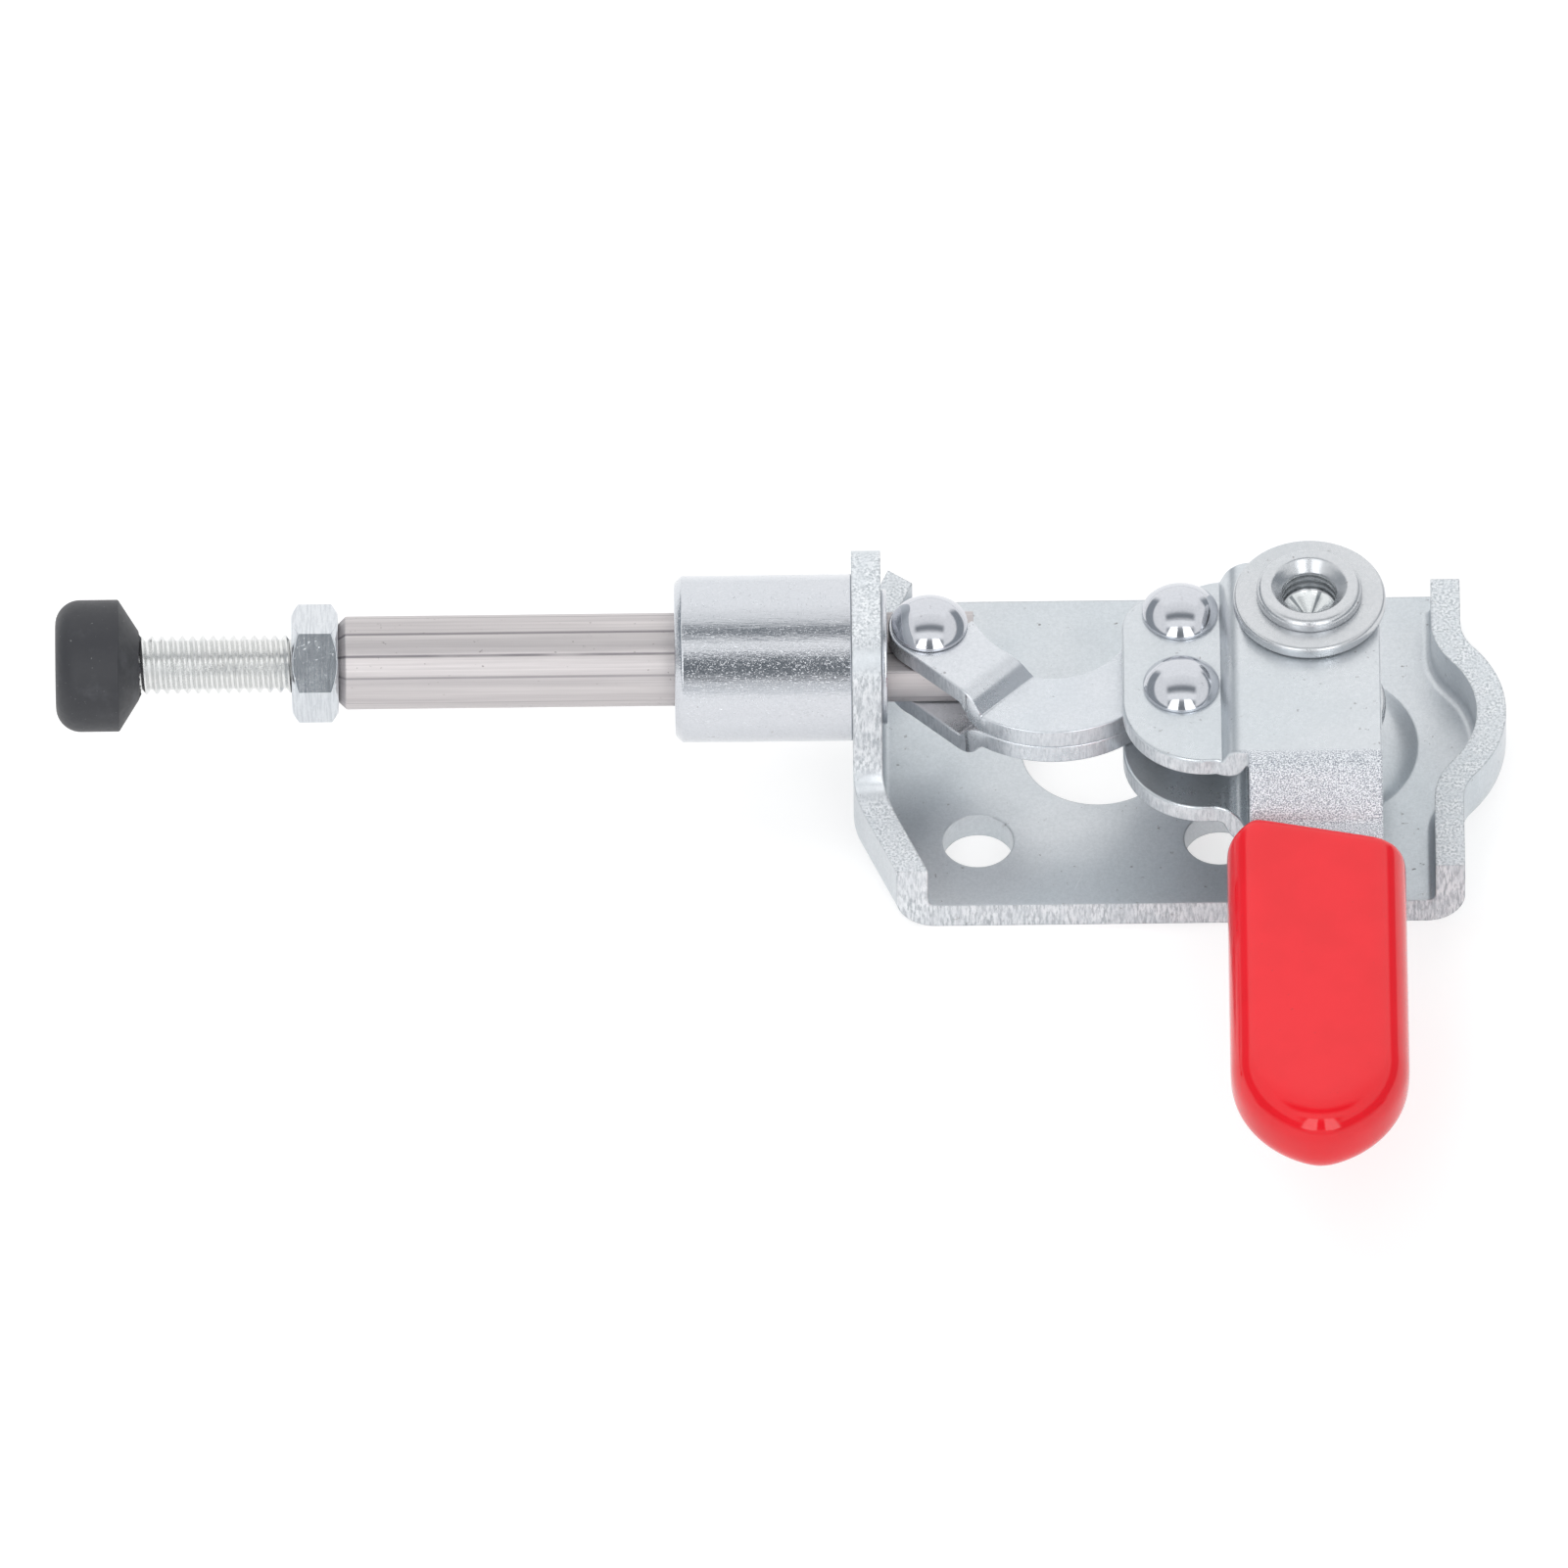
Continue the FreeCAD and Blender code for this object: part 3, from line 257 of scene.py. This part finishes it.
def softened(name, width, body, material, angle=30, clamp=True):
    """A merged copy of a CAD piece with its sharp edges broken, which stands for it. Unclamped,
    the edges keep their full width beside the mesh's very short ones."""
    same_place = 0.0002 * MM
    nearly_flat = math.radians(0.2)
    shape = bmesh.new()
    shape.from_mesh(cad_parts[name].data)
    bmesh.ops.remove_doubles(shape, verts=shape.verts, dist=same_place)
    bmesh.ops.dissolve_limit(
        shape, angle_limit=nearly_flat, verts=shape.verts, edges=shape.edges
    )
    for face in shape.faces:
        face.smooth = True
    mesh = bpy.data.meshes.new(name + "_finish")
    shape.to_mesh(mesh)
    shape.free()
    mesh.materials.clear()
    mesh.materials.append(material)
    piece = bpy.data.objects.new(name + "_finish", mesh)
    bpy.context.scene.collection.objects.link(piece)
    edges = piece.modifiers.new("broken_edges", "BEVEL")
    edges.width = width
    edges.segments = 3
    edges.limit_method = "ANGLE"
    edges.angle_limit = math.radians(angle)
    edges.use_clamp_overlap = clamp
    edges.miter_outer = "MITER_ARC"
    even = piece.modifiers.new("even_shading", "WEIGHTED_NORMAL")
    even.keep_sharp = True
    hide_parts(name)
    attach(piece, body)
    return piece


sheet_thick = 2.0 * MM
wall_height = 5.45 * MM
base_edge = 0.22 * MM
plated_relief = 0.012 * MM
sheet_metallic = 0.75
sheet_metal, nodes, where, shader = finish("zinc_sheet_metal", metallic=sheet_metallic)
surface = plated(
    nodes, colour(214, 218, 222), cloud=0.8, pits=0.8, scratches=0.5, roughness=0.36
)
at = nodes.parts(where["Object"])
normal = nodes.parts(where["Normal"])
plate_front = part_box("base_frame")[0].y
front_face = nodes.step(normal[1], -0.75, -0.95)
at_front = nodes.step(at[1], plate_front + 0.5 * MM, plate_front + 0.2 * MM)
above_sheet = nodes.step(at[2], sheet_thick + 0.3 * MM, sheet_thick + 0.6 * MM)
front_face = nodes.times(front_face, nodes.strongest([at_front, above_sheet]))
at_rim = nodes.step(at[2], wall_height - 0.35 * MM, wall_height - 0.1 * MM)
rims = nodes.times(nodes.step(normal[2], 0.8, 0.95), at_rim)
cut_faces = nodes.strongest([front_face, rims])
nodes.plug(shader.inputs["Metallic"], nodes.minus(sheet_metallic, nodes.times(cut_faces, 0.55)))
edge = torn_edge(nodes, surface, cut_faces)
cover(nodes, shader, edge["Color"], edge["Roughness"], edge["Height"], plated_relief, base_edge)
softened("base_frame", base_edge, "root", sheet_metal)

# Guide sleeve: turned from bar, brightly zinc-plated and staked into the tab. The plating lies in
# ragged streaks along the bar, and handling has left many short scratches round it.
sleeve_scratches = ((0.2, 0.5), (0.9, 1.7), (-0.6, 2.9), (1.5, 3.1), (-1.2, 4.3))
sleeve_metal, nodes, where, shader = finish("sleeve_metal", metallic=1.0)
surface = plated(
    nodes, colour(212, 214, 219), cloud=0.35, pits=0.5, scratches=1.0, roughness=0.05
)
spot = where["Object"]
ragged_spot = nodes.place(spot, stretch=(420, 2600, 2600))
ragged = nodes.noise(ragged_spot, detail=5, roughness=0.75)
nicks = nodes.strongest([
    scratch(nodes, spot, (0.0, turn * 0.4, turn), (620, 8200, 8200), seed, 0.70)
    for turn, seed in sleeve_scratches
])
nicks = nodes.times(nicks, nodes.step(nodes.noise(spot, scale=330), 0.38, 0.6, 0.3, 1.0))
tone = nodes.mix(nodes.times(nicks, 0.35), surface["Color"], colour(240, 243, 247))
rough = nodes.plus(surface["Roughness"], nodes.times(nicks, 0.15))
height = nodes.minus(nodes.times(ragged, 1.9), nodes.times(nicks, 1.2))
cover(nodes, shader, tone, rough, height, plated_relief)
softened("guide_sleeve", 0.1 * MM, "root", sleeve_metal)

# Plunger: cold-drawn bar, left bare. The drawing die has marked it with long straight lines, each
# given as its angle round the bar in degrees, its half width in degrees, and its strength.
die_marks = (
    (84.0, 1.7, 0.85), (54.4, 1.6, 0.95), (26.7, 1.5, 0.6), (-14.0, 0.8, 0.4),
    (118.0, 0.9, 0.7), (163.0, 0.7, 0.6), (-62.0, 0.8, 0.7), (-120.0, 0.8, 0.7),
)
axis_y = (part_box("plunger_rod")[0].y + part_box("plunger_rod")[1].y) / 2
axis_z = (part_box("guide_sleeve")[0].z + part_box("guide_sleeve")[1].z) / 2
rod_metal, nodes, where, shader = finish("drawn_rod_metal")
spot = where["Object"]
at = nodes.parts(spot)
across = nodes.minus(at[1], axis_y)
above = nodes.minus(at[2], axis_z)
turn = nodes.maths("ARCTAN2", above, nodes.times(across, -1.0))
wide_way = nodes.node("CombineXYZ", X=nodes.times(at[0], 26.0), Y=nodes.times(turn, 4.0), Z=0.0)
drawn = nodes.noise(wide_way.outputs[0], detail=5, roughness=0.65)
fine_way = nodes.node("CombineXYZ", X=nodes.times(at[0], 60.0), Y=nodes.times(turn, 60.0), Z=0.5)
fine = nodes.noise(fine_way.outputs[0], detail=3, roughness=0.6)
lines = []
for angle, half, strength in die_marks:
    gap = nodes.maths("ABSOLUTE", nodes.minus(turn, math.radians(angle)))
    outer_edge = math.radians(half * 1.6)
    inner_edge = math.radians(half * 0.4)
    lines.append(nodes.step(gap, outer_edge, inner_edge, 0.0, strength))
break_noise = nodes.noise(nodes.place(spot, stretch=(160, 900, 900)))
lines = nodes.times(nodes.strongest(lines), nodes.step(break_noise, 0.2, 0.5, 0.45, 1.0))
speck = nodes.step(nodes.noise(spot, scale=3000), 0.70, 0.76)
tone = nodes.mix(nodes.step(drawn, 0.25, 0.75), colour(194, 189, 190), colour(219, 214, 214))
tone = nodes.mix(nodes.times(nodes.step(fine, 0.35, 0.65), 0.25), tone, colour(170, 168, 168))
tone = nodes.mix(nodes.times(lines, 0.7), tone, colour(84, 80, 90))
tone = nodes.mix(nodes.times(speck, 0.5), tone, colour(90, 84, 84))
rough = nodes.plus(0.42, nodes.times(fine, 0.18))
height = nodes.minus(nodes.times(fine, 0.5), nodes.plus(lines, speck))
cover(nodes, shader, tone, rough, height, 0.012 * MM)
softened("plunger_rod", 0.08 * MM, "plunger", rod_metal)

# Spindle: an M4 screw with a rolled thread, zinc-plated. Its head is held inside the rubber tip.
# Each point of a turn of the thread is given as its share of the pitch and its radius.
thread_pitch = 0.7 * MM
crest = 1.98 * MM
root = 1.68 * MM
middle = (crest + root) / 2
thread_turn = (
    (0.0, crest), (0.16, crest), (0.3, middle), (0.44, root), (0.68, root), (0.84, middle)
)
thread_steps = 40
weld_gap = 0.002 * MM
cut_gap = 0.001 * MM
head_length = 2.6 * MM
head_overlap = 0.2 * MM
screw_low, screw_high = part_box("spindle_screw")
head_radius = (screw_high.y - screw_low.y) / 2
centre = Vector((0, axis_y, axis_z))
thread_start = screw_low.x + head_length - head_overlap
thread_turns = math.ceil((screw_high.x - thread_start) / thread_pitch) + 2
screw = bmesh.new()
profile = []
for number in range(-1, thread_turns):
    for share, radius in thread_turn:
        along = thread_start + (number + share) * thread_pitch
        profile.append(screw.verts.new(centre + Vector((along, 0, radius))))
profile_end = Vector((thread_start + thread_turns * thread_pitch, 0, crest))
profile.append(screw.verts.new(centre + profile_end))
ridge = [screw.edges.new(pair) for pair in zip(profile, profile[1:])]
bmesh.ops.spin(
    screw, geom=profile + ridge, cent=centre, axis=(1, 0, 0),
    dvec=(thread_pitch / thread_steps, 0, 0), angle=math.radians(360), steps=thread_steps,
    use_merge=False
)
bmesh.ops.remove_doubles(screw, verts=screw.verts, dist=weld_gap)
for end, outward in ((thread_start, -1), (screw_high.x, 1)):
    whole = screw.verts[:] + screw.edges[:] + screw.faces[:]
    bmesh.ops.bisect_plane(
        screw, geom=whole, dist=cut_gap / 10, plane_co=(end, 0, 0), plane_no=(outward, 0, 0),
        clear_outer=True
    )
    rim = [
        edge for edge in screw.edges
        if edge.is_boundary and all(abs(vert.co.x - end) < cut_gap for vert in edge.verts)
    ]
    bmesh.ops.holes_fill(screw, edges=rim, sides=0)
across_x = Matrix.Rotation(math.radians(90), 4, "Y")
head_centre = centre + Vector((screw_low.x + head_length / 2, 0, 0))
bmesh.ops.create_cone(
    screw, cap_ends=True, segments=48, radius1=head_radius, radius2=head_radius,
    depth=head_length, matrix=Matrix.Translation(head_centre) @ across_x
)
bmesh.ops.recalc_face_normals(screw, faces=screw.faces)
thread_metal, nodes, where, shader = finish("plated_thread_metal")
surface = plated(
    nodes, colour(232, 232, 231), cloud=0.3, pits=0.3, scratches=0.2, roughness=0.26
)
cover(nodes, shader, surface["Color"], surface["Roughness"], surface["Height"], 0.008 * MM)


def placed(shape, name, body, material, sharp_angle):
    """The finished piece of a bmesh: smooth but for its sharp edges, and riding on its body."""
    for face in shape.faces:
        face.smooth = True
    mesh = bpy.data.meshes.new(name)
    shape.to_mesh(mesh)
    shape.free()
    mesh.set_sharp_from_angle(angle=math.radians(sharp_angle))
    mesh.materials.append(material)
    piece = bpy.data.objects.new(name, mesh)
    bpy.context.scene.collection.objects.link(piece)
    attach(piece, body)
    return piece


spindle = placed(screw, "threaded_spindle", "spindle", thread_metal, 35)
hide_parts("spindle_screw")

# Lock nut: a zinc-plated hexagon nut, chamfered on both faces and finely brushed round its flats.
# It jams the spindle in the plunger.
nut_metal, nodes, where, shader = finish("nut_metal")
surface = plated(
    nodes, colour(220, 223, 227), cloud=0.3, pits=0.4, scratches=0.7, roughness=0.12
)
brushed = nodes.noise(nodes.place(where["Object"], stretch=(9000, 500, 500)))
brush_share = nodes.times(nodes.step(brushed, 0.4, 0.65), 0.25)
tone = nodes.mix(brush_share, surface["Color"], colour(150, 156, 166))
height = nodes.plus(surface["Height"], nodes.times(brushed, 0.6))
cover(nodes, shader, tone, surface["Roughness"], height, 0.006 * MM)
softened("lock_nut", 0.12 * MM, "plunger", nut_metal, angle=20)

# Tip: black rubber moulded over the screw's head, soft and a little dusty, with a ragged flash
# where the screw leaves the mould. Each level of the flash is given as its place along the screw
# and its height over it, in millimetres.
flash_levels = ((-0.25, 0.45), (0.0, 0.34), (0.22, 0.2), (0.3, 0.03))
flash_buried = -0.25
flash_steps = 72
flash_inside = 2.0 * MM
tip_rubber, nodes, where, shader = finish("tip_rubber", metallic=0.0)
shader.inputs["Specular IOR Level"].default_value = 0.4
spot = where["Object"]
grain = nodes.noise(spot, scale=2600, detail=3, roughness=0.6)
dust = nodes.step(nodes.noise(spot, scale=420, detail=4, roughness=0.65), 0.5, 0.75)
fleck_spot = nodes.place(spot, shift=(0.2, 0.3, 0.1))
fleck = nodes.step(nodes.noise(fleck_spot, scale=4200, detail=1), 0.74, 0.79)
tone = nodes.mix(dust, colour(52, 53, 57), colour(68, 69, 73))
tone = nodes.mix(nodes.times(fleck, 0.4), tone, colour(150, 150, 150))
rough = nodes.plus(0.42, nodes.times(grain, 0.2))
cover(nodes, shader, tone, rough, grain, 0.01 * MM)
softened("rubber_tip", 0.08 * MM, "spindle", tip_rubber)
neck = centre + Vector((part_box("rubber_tip")[1].x - 0.3 * MM, 0, 0))


def ragged_ring(ring, along, outer):
    """Moves a ring of vertices to one level of the flash, made uneven by three waves."""
    for vert in ring:
        angle = math.atan2(vert.co.z - axis_z, vert.co.y - axis_y)
        rag = math.sin(angle * 5 + 1.3) * 0.4
        rag += math.sin(angle * 11 + 0.4) * 0.35
        rag += math.sin(angle * 23) * 0.25
        reach = max(along * (1 + 0.9 * rag), flash_buried) * MM
        swell = 1 if along == flash_buried else 1 + 0.5 * rag
        radius = flash_inside + outer * swell * MM
        vert.co = neck + Vector((reach, math.cos(angle) * radius, math.sin(angle) * radius))


flash = bmesh.new()
ring = bmesh.ops.create_circle(
    flash, cap_ends=True, segments=flash_steps, radius=flash_inside,
    matrix=Matrix.Translation(centre) @ across_x
)["verts"]
ragged_ring(ring, *flash_levels[0])
border = flash.edges[:]
for along, outer in flash_levels[1:]:
    grown = bmesh.ops.extrude_edge_only(flash, edges=border)["geom"]
    ring = [item for item in grown if isinstance(item, bmesh.types.BMVert)]
    border = [
        item for item in grown if isinstance(item, bmesh.types.BMEdge) and item.is_boundary
    ]
    ragged_ring(ring, along, outer)
bmesh.ops.holes_fill(flash, edges=border, sides=0)
bmesh.ops.recalc_face_normals(flash, faces=flash.faces)
placed(flash, "rubber_flash", "spindle", tip_rubber, 60)

# Links: two strips, blanked, bent and plated like the base. They carry the push from the handle to
# the plunger, one above the bar and one below it.
link_metal, nodes, where, shader = finish("link_metal", metallic=0.8)
surface = plated(
    nodes, colour(218, 221, 226), cloud=0.7, pits=0.6, scratches=0.5, roughness=0.3
)
upright = nodes.maths("ABSOLUTE", nodes.parts(where["Normal"])[2])
side_face = nodes.step(upright, 0.25, 0.05)
edge = torn_edge(nodes, surface, nodes.times(side_face, 0.4))
cover(nodes, shader, edge["Color"], edge["Roughness"], edge["Height"], plated_relief)
for name in ("link_upper", "link_lower"):
    softened(name, 0.12 * MM, "link", link_metal, clamp=False)

# Handle plates: two plates of zinc-plated steel, blanked and bent. The bend towards the grip keeps
# the frosted face that the press tool left on it.
handle_metallic = 0.8
slope_start = axis_y - 13.6 * MM
handle_metal, nodes, where, shader = finish("handle_metal", metallic=handle_metallic)
surface = plated(
    nodes, colour(212, 216, 220), cloud=0.6, pits=0.6, scratches=0.5, roughness=0.32
)
upright = nodes.maths("ABSOLUTE", nodes.parts(where["Normal"])[2])
side_face = nodes.times(nodes.step(upright, 0.25, 0.05), 0.6)
edge = torn_edge(nodes, surface, side_face)
along_plate = nodes.parts(where["Object"])[1]
past_start = nodes.step(along_plate, slope_start + 0.3 * MM, slope_start - 0.2 * MM)
slope = nodes.times(past_start, nodes.step(upright, 0.05, 0.3))
frost = nodes.noise(where["Object"], scale=11000, roughness=0.7)
sparkle = nodes.step(frost, 0.44, 0.56)
frosted = nodes.mix(sparkle, colour(130, 136, 147), colour(240, 242, 246))
tone = nodes.mix(nodes.times(slope, 0.8), edge["Color"], frosted)
rough = nodes.plus(edge["Roughness"], nodes.times(slope, 0.1))
height = nodes.plus(edge["Height"], nodes.times(slope, nodes.times(frost, 3.0)))
dull = nodes.times(nodes.strongest([slope, side_face]), 0.5)
nodes.plug(shader.inputs["Metallic"], nodes.minus(handle_metallic, dull))
cover(nodes, shader, tone, rough, height, plated_relief)
for name in ("handle_upper_plate", "handle_lower_plate"):
    softened(name, 0.2 * MM, "handle", handle_metal, clamp=False)

# Grip: red vinyl, dip-moulded over both tangs. It is glossy, and soft at every edge, so its mesh
# is made anew on a fine grid and smoothed.
vinyl_grain = 0.17 * MM
grip_vinyl, nodes, where, shader = finish("grip_vinyl", metallic=0.0)
soft = nodes.noise(where["Object"], scale=240, detail=3)
fleck = nodes.step(nodes.noise(where["Object"], scale=3600, detail=1), 0.77, 0.81)
tone = nodes.mix(nodes.step(soft, 0.3, 0.7), colour(221, 15, 29), colour(227, 18, 33))
tone = nodes.mix(nodes.times(fleck, 0.5), tone, colour(170, 30, 36))
rough = nodes.plus(0.05, nodes.times(soft, 0.05))
cover(nodes, shader, tone, rough, soft, 0.008 * MM)
skin = softened("handle_grip", 0.1 * MM, "handle", grip_vinyl)
skin.modifiers.clear()
dipped = skin.modifiers.new("dipped_skin", "REMESH")
dipped.mode = "VOXEL"
dipped.voxel_size = vinyl_grain
dipped.use_smooth_shade = True
melt = skin.modifiers.new("soft_edges", "SMOOTH")
melt.factor = 0.5
melt.iterations = 70

# Rivets: steel, brightly plated, and headed by a spinning tool that leaves a smooth dome with a
# thin rim. They join the links to the plunger and the handle, and the handle's plates together.
rivet_bodies = {"plunger_rivet": "plunger", "link_rivet": "handle", "stop_rivet": "handle"}
rivet_metal, nodes, where, shader = finish("rivet_metal")
surface = plated(
    nodes, colour(206, 208, 214), cloud=0.2, pits=0.3, scratches=0.4, roughness=0.05
)
cover(nodes, shader, surface["Color"], surface["Roughness"], surface["Height"], 0.004 * MM)
for name, body in rivet_bodies.items():
    softened(name, 0.06 * MM, body, rivet_metal)

# Pivot: a stud rolled over at the top, its two washers, and the spacer between the plates, all of
# them turned and zinc-plated. The drill has left rings on the wall of the stud's centre hole, whose
# grooves are darkened with painted shade; its cone carries a painted reflection of five dark rays
# between light ones.
pivot_bodies = {
    "pivot_stud": "root", "pivot_washer_top": "root", "pivot_washer_lower": "root",
    "pivot_spacer": "handle",
}
rings_rate = 11000
hole_mouth = 1.95 * MM
hole_wall = 1.8 * MM
stud_low, stud_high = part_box("pivot_stud")
stud_x = (stud_low.x + stud_high.x) / 2
pivot_metal, nodes, where, shader = finish("pivot_metal")
surface = plated(
    nodes, colour(208, 210, 213), cloud=0.7, pits=0.9, scratches=0.6, roughness=0.28
)
at = nodes.parts(where["Object"])
out_x = nodes.minus(at[0], stud_x)
out_y = nodes.minus(at[1], axis_y)
square = nodes.plus(nodes.maths("POWER", out_x, 2.0), nodes.maths("POWER", out_y, 2.0))
radius = nodes.maths("SQRT", square)
below_top = nodes.step(at[2], stud_high.z - 0.9 * MM, stud_high.z - 1.0 * MM)
inside = nodes.times(nodes.step(radius, hole_mouth + 0.15 * MM, hole_mouth), below_top)
wall = nodes.times(inside, nodes.step(radius, hole_wall - 0.08 * MM, hole_wall))
rings = nodes.times(wall, nodes.maths("SINE", nodes.times(at[2], rings_rate)))
height = nodes.plus(surface["Height"], nodes.times(rings, 3.0))
# Painted reflection: five dark rays between light ones are painted into the cone's colour, standing
# in for the studio's bands on a turned cone.
sector = nodes.maths("ARCTAN2", out_y, out_x)
wave = nodes.maths("SINE", nodes.plus(nodes.times(sector, 2.5), 0.3))
reflection_rays = nodes.maths("ABSOLUTE", wave)
cone = nodes.minus(inside, wall)
painted_cone_reflection = nodes.mix(nodes.step(reflection_rays, 0.12, 0.3), colour(120, 128, 132), colour(236, 240, 240))
tone = nodes.mix(nodes.times(cone, 0.8), surface["Color"], painted_cone_reflection)
# Painted shade: the grooves between the rings on the hole's wall are darkened in the colour.
painted_groove_shade = nodes.times(wall, nodes.step(rings, 0.1, -0.7, 0.0, 0.6))
tone = nodes.mix(painted_groove_shade, tone, colour(96, 100, 104))
rough = nodes.minus(surface["Roughness"], nodes.times(inside, 0.1))
cover(nodes, shader, tone, rough, height, plated_relief)
for name, body in pivot_bodies.items():
    softened(name, 0.1 * MM, body, pivot_metal)

# Floor: a wide sheet of white paper, a hair under the base so that the two never coincide. It
# shines a little for camera, glossy and transmission rays, and is plain paper for all other rays.
floor_size = 1.2
floor_drop = 0.02 * MM
floor_shape = bmesh.new()
bmesh.ops.create_grid(floor_shape, x_segments=1, y_segments=1, size=floor_size / 2)
floor_mesh = bpy.data.meshes.new("floor")
floor_shape.to_mesh(floor_mesh)
floor_shape.free()
floor = bpy.data.objects.new("floor", floor_mesh)
bpy.context.scene.collection.objects.link(floor)
floor.location.z = -floor_drop
paper = bpy.data.materials.new("white_paper")
paper.use_nodes = True
paper.node_tree.nodes.clear()
nodes = Wiring(paper.node_tree)
plain = nodes.node("BsdfDiffuse", Color=(0.86, 0.86, 0.86, 1))
faint = nodes.node("BsdfDiffuse", Color=(0.42, 0.42, 0.42, 1))
lit = nodes.node("Emission", Color=(1, 1, 1, 1), Strength=0.66)
both = nodes.fed(nodes.node("AddShader"), faint.outputs[0], lit.outputs[0])
rays = nodes.node("LightPath").outputs
bright_rays = ("Is Glossy Ray", "Is Transmission Ray", "Is Camera Ray")
shown = nodes.strongest([rays[label] for label in bright_rays])
choice = nodes.fed(nodes.node("MixShader"), shown, plain.outputs[0], both)
nodes.plug(nodes.node("OutputMaterial").inputs["Surface"], choice)
floor_mesh.materials.append(paper)

# Light: white to the camera, and to all other rays a grey studio dome, whose soft boxes, dark gaps,
# dark low walls and two bright panels give the metal its bands. A weak soft lamp stands high on the
# left and a little behind, where reflections don't show it.
wall_dark = 0.26
wall_bright = 0.88
panel_bright = 2.4
dome_strength = 1.16
# Each band: its angle in degrees, from the front horizon over the top to the back, and its light.
dome_bands = (
    (0, 0.60), (13, 0.90), (21, 0.14), (52, 0.14), (60, 1.15), (70, 1.15), (79, 0.16), (89, 0.16),
    (97, 0.86), (118, 0.90), (126, 1.08), (180, 1.0),
)


def sky(value):
    """A grey of the dome, a little blue where it is dark."""
    cool = max(0.0, 0.9 - value) * 0.16
    return (value * (1 - cool), value, value * (1 + cool), 1)


world = bpy.data.worlds.new("daylight_dome")
bpy.context.scene.world = world
world.use_nodes = True
world.node_tree.nodes.clear()
nodes = Wiring(world.node_tree)
east, north, up = nodes.parts(nodes.node("TexCoord").outputs["Generated"])
south = nodes.times(north, -1.0)
sideways = nodes.maths("ABSOLUTE", east)
rise = nodes.times(nodes.maths("ARCTAN2", up, south), 180 / math.pi)
aside = nodes.times(nodes.maths("ARCTAN2", sideways, south), 180 / math.pi)
bands = nodes.node("ValToRGB")
ramp = bands.color_ramp
ramp.interpolation = "B_SPLINE"
stops_at_start = len(ramp.elements)
for number, (angle, value) in enumerate(dome_bands):
    is_there = number < stops_at_start
    stop = ramp.elements[number] if is_there else ramp.elements.new(angle / 180)
    stop.position = angle / 180
    stop.color = sky(value)
band_light = nodes.fed(bands, nodes.maths("DIVIDE", rise, 180.0))
walls = nodes.times(nodes.step(sideways, 0.46, 0.62), nodes.step(up, 0.02, 0.16))
wall_light = nodes.mix(nodes.step(up, 0.42, 0.52), sky(wall_dark), sky(wall_bright))
panel_width = nodes.times(nodes.step(aside, 9, 12), nodes.step(aside, 40, 35))
panel_height = nodes.times(nodes.step(rise, 12, 16), nodes.step(rise, 60, 54))
dome = nodes.mix(walls, band_light, wall_light)
dome = nodes.mix(nodes.times(panel_width, panel_height), dome, sky(panel_bright))
to_camera = nodes.node("LightPath").outputs["Is Camera Ray"]
light = nodes.node(
    "Background", Color=nodes.mix(to_camera, dome, (1, 1, 1, 1)),
    Strength=nodes.step(to_camera, 0.4, 0.6, dome_strength, 1.0)
)
nodes.plug(nodes.node("OutputWorld").inputs["Surface"], light.outputs[0])

lamp_data = bpy.data.lights.new("key_softbox", "AREA")
lamp_data.energy = 0.9
lamp_data.size = 0.35
lamp = bpy.data.objects.new("key_softbox", lamp_data)
lamp.location = (-0.25, 0.15, 0.55)
lamp.visible_glossy = False
lamp.rotation_euler = (-lamp.location).to_track_quat("-Z", "Y").to_euler()
bpy.context.scene.collection.objects.link(lamp)

# Camera: from the front, 47 degrees up, through a long lens, and a little rolled. The photograph's
# frame is 1601 pixels wide at 15 pixels to the millimetre of the clamp.
pixels_wide = 1601
pixels_per_mm = 15.0
view_elevation = math.radians(46.9)
view_roll = math.radians(-0.65)
camera_distance = 5.0
frame_width = pixels_wide / pixels_per_mm * MM
frame_middle = Vector((-21.43 * MM, axis_y - 11.755 * MM, axis_z))
towards = Vector((0, -math.cos(view_elevation), math.sin(view_elevation)))
camera_data = bpy.data.cameras.new("camera")
camera_data.sensor_width = 36
camera_data.lens = camera_data.sensor_width * camera_distance / frame_width
camera_data.clip_end = 4 * camera_distance
camera = bpy.data.objects.new("camera", camera_data)
roll = Matrix.Rotation(view_roll, 4, "Z")
tilt = Matrix.Rotation(math.radians(90) - view_elevation, 4, "X")
stand = Matrix.Translation(frame_middle + towards * camera_distance)
camera.matrix_world = stand @ tilt @ roll
bpy.context.scene.collection.objects.link(camera)
bpy.context.scene.camera = camera
bpy.context.scene.view_settings.view_transform = "Standard"
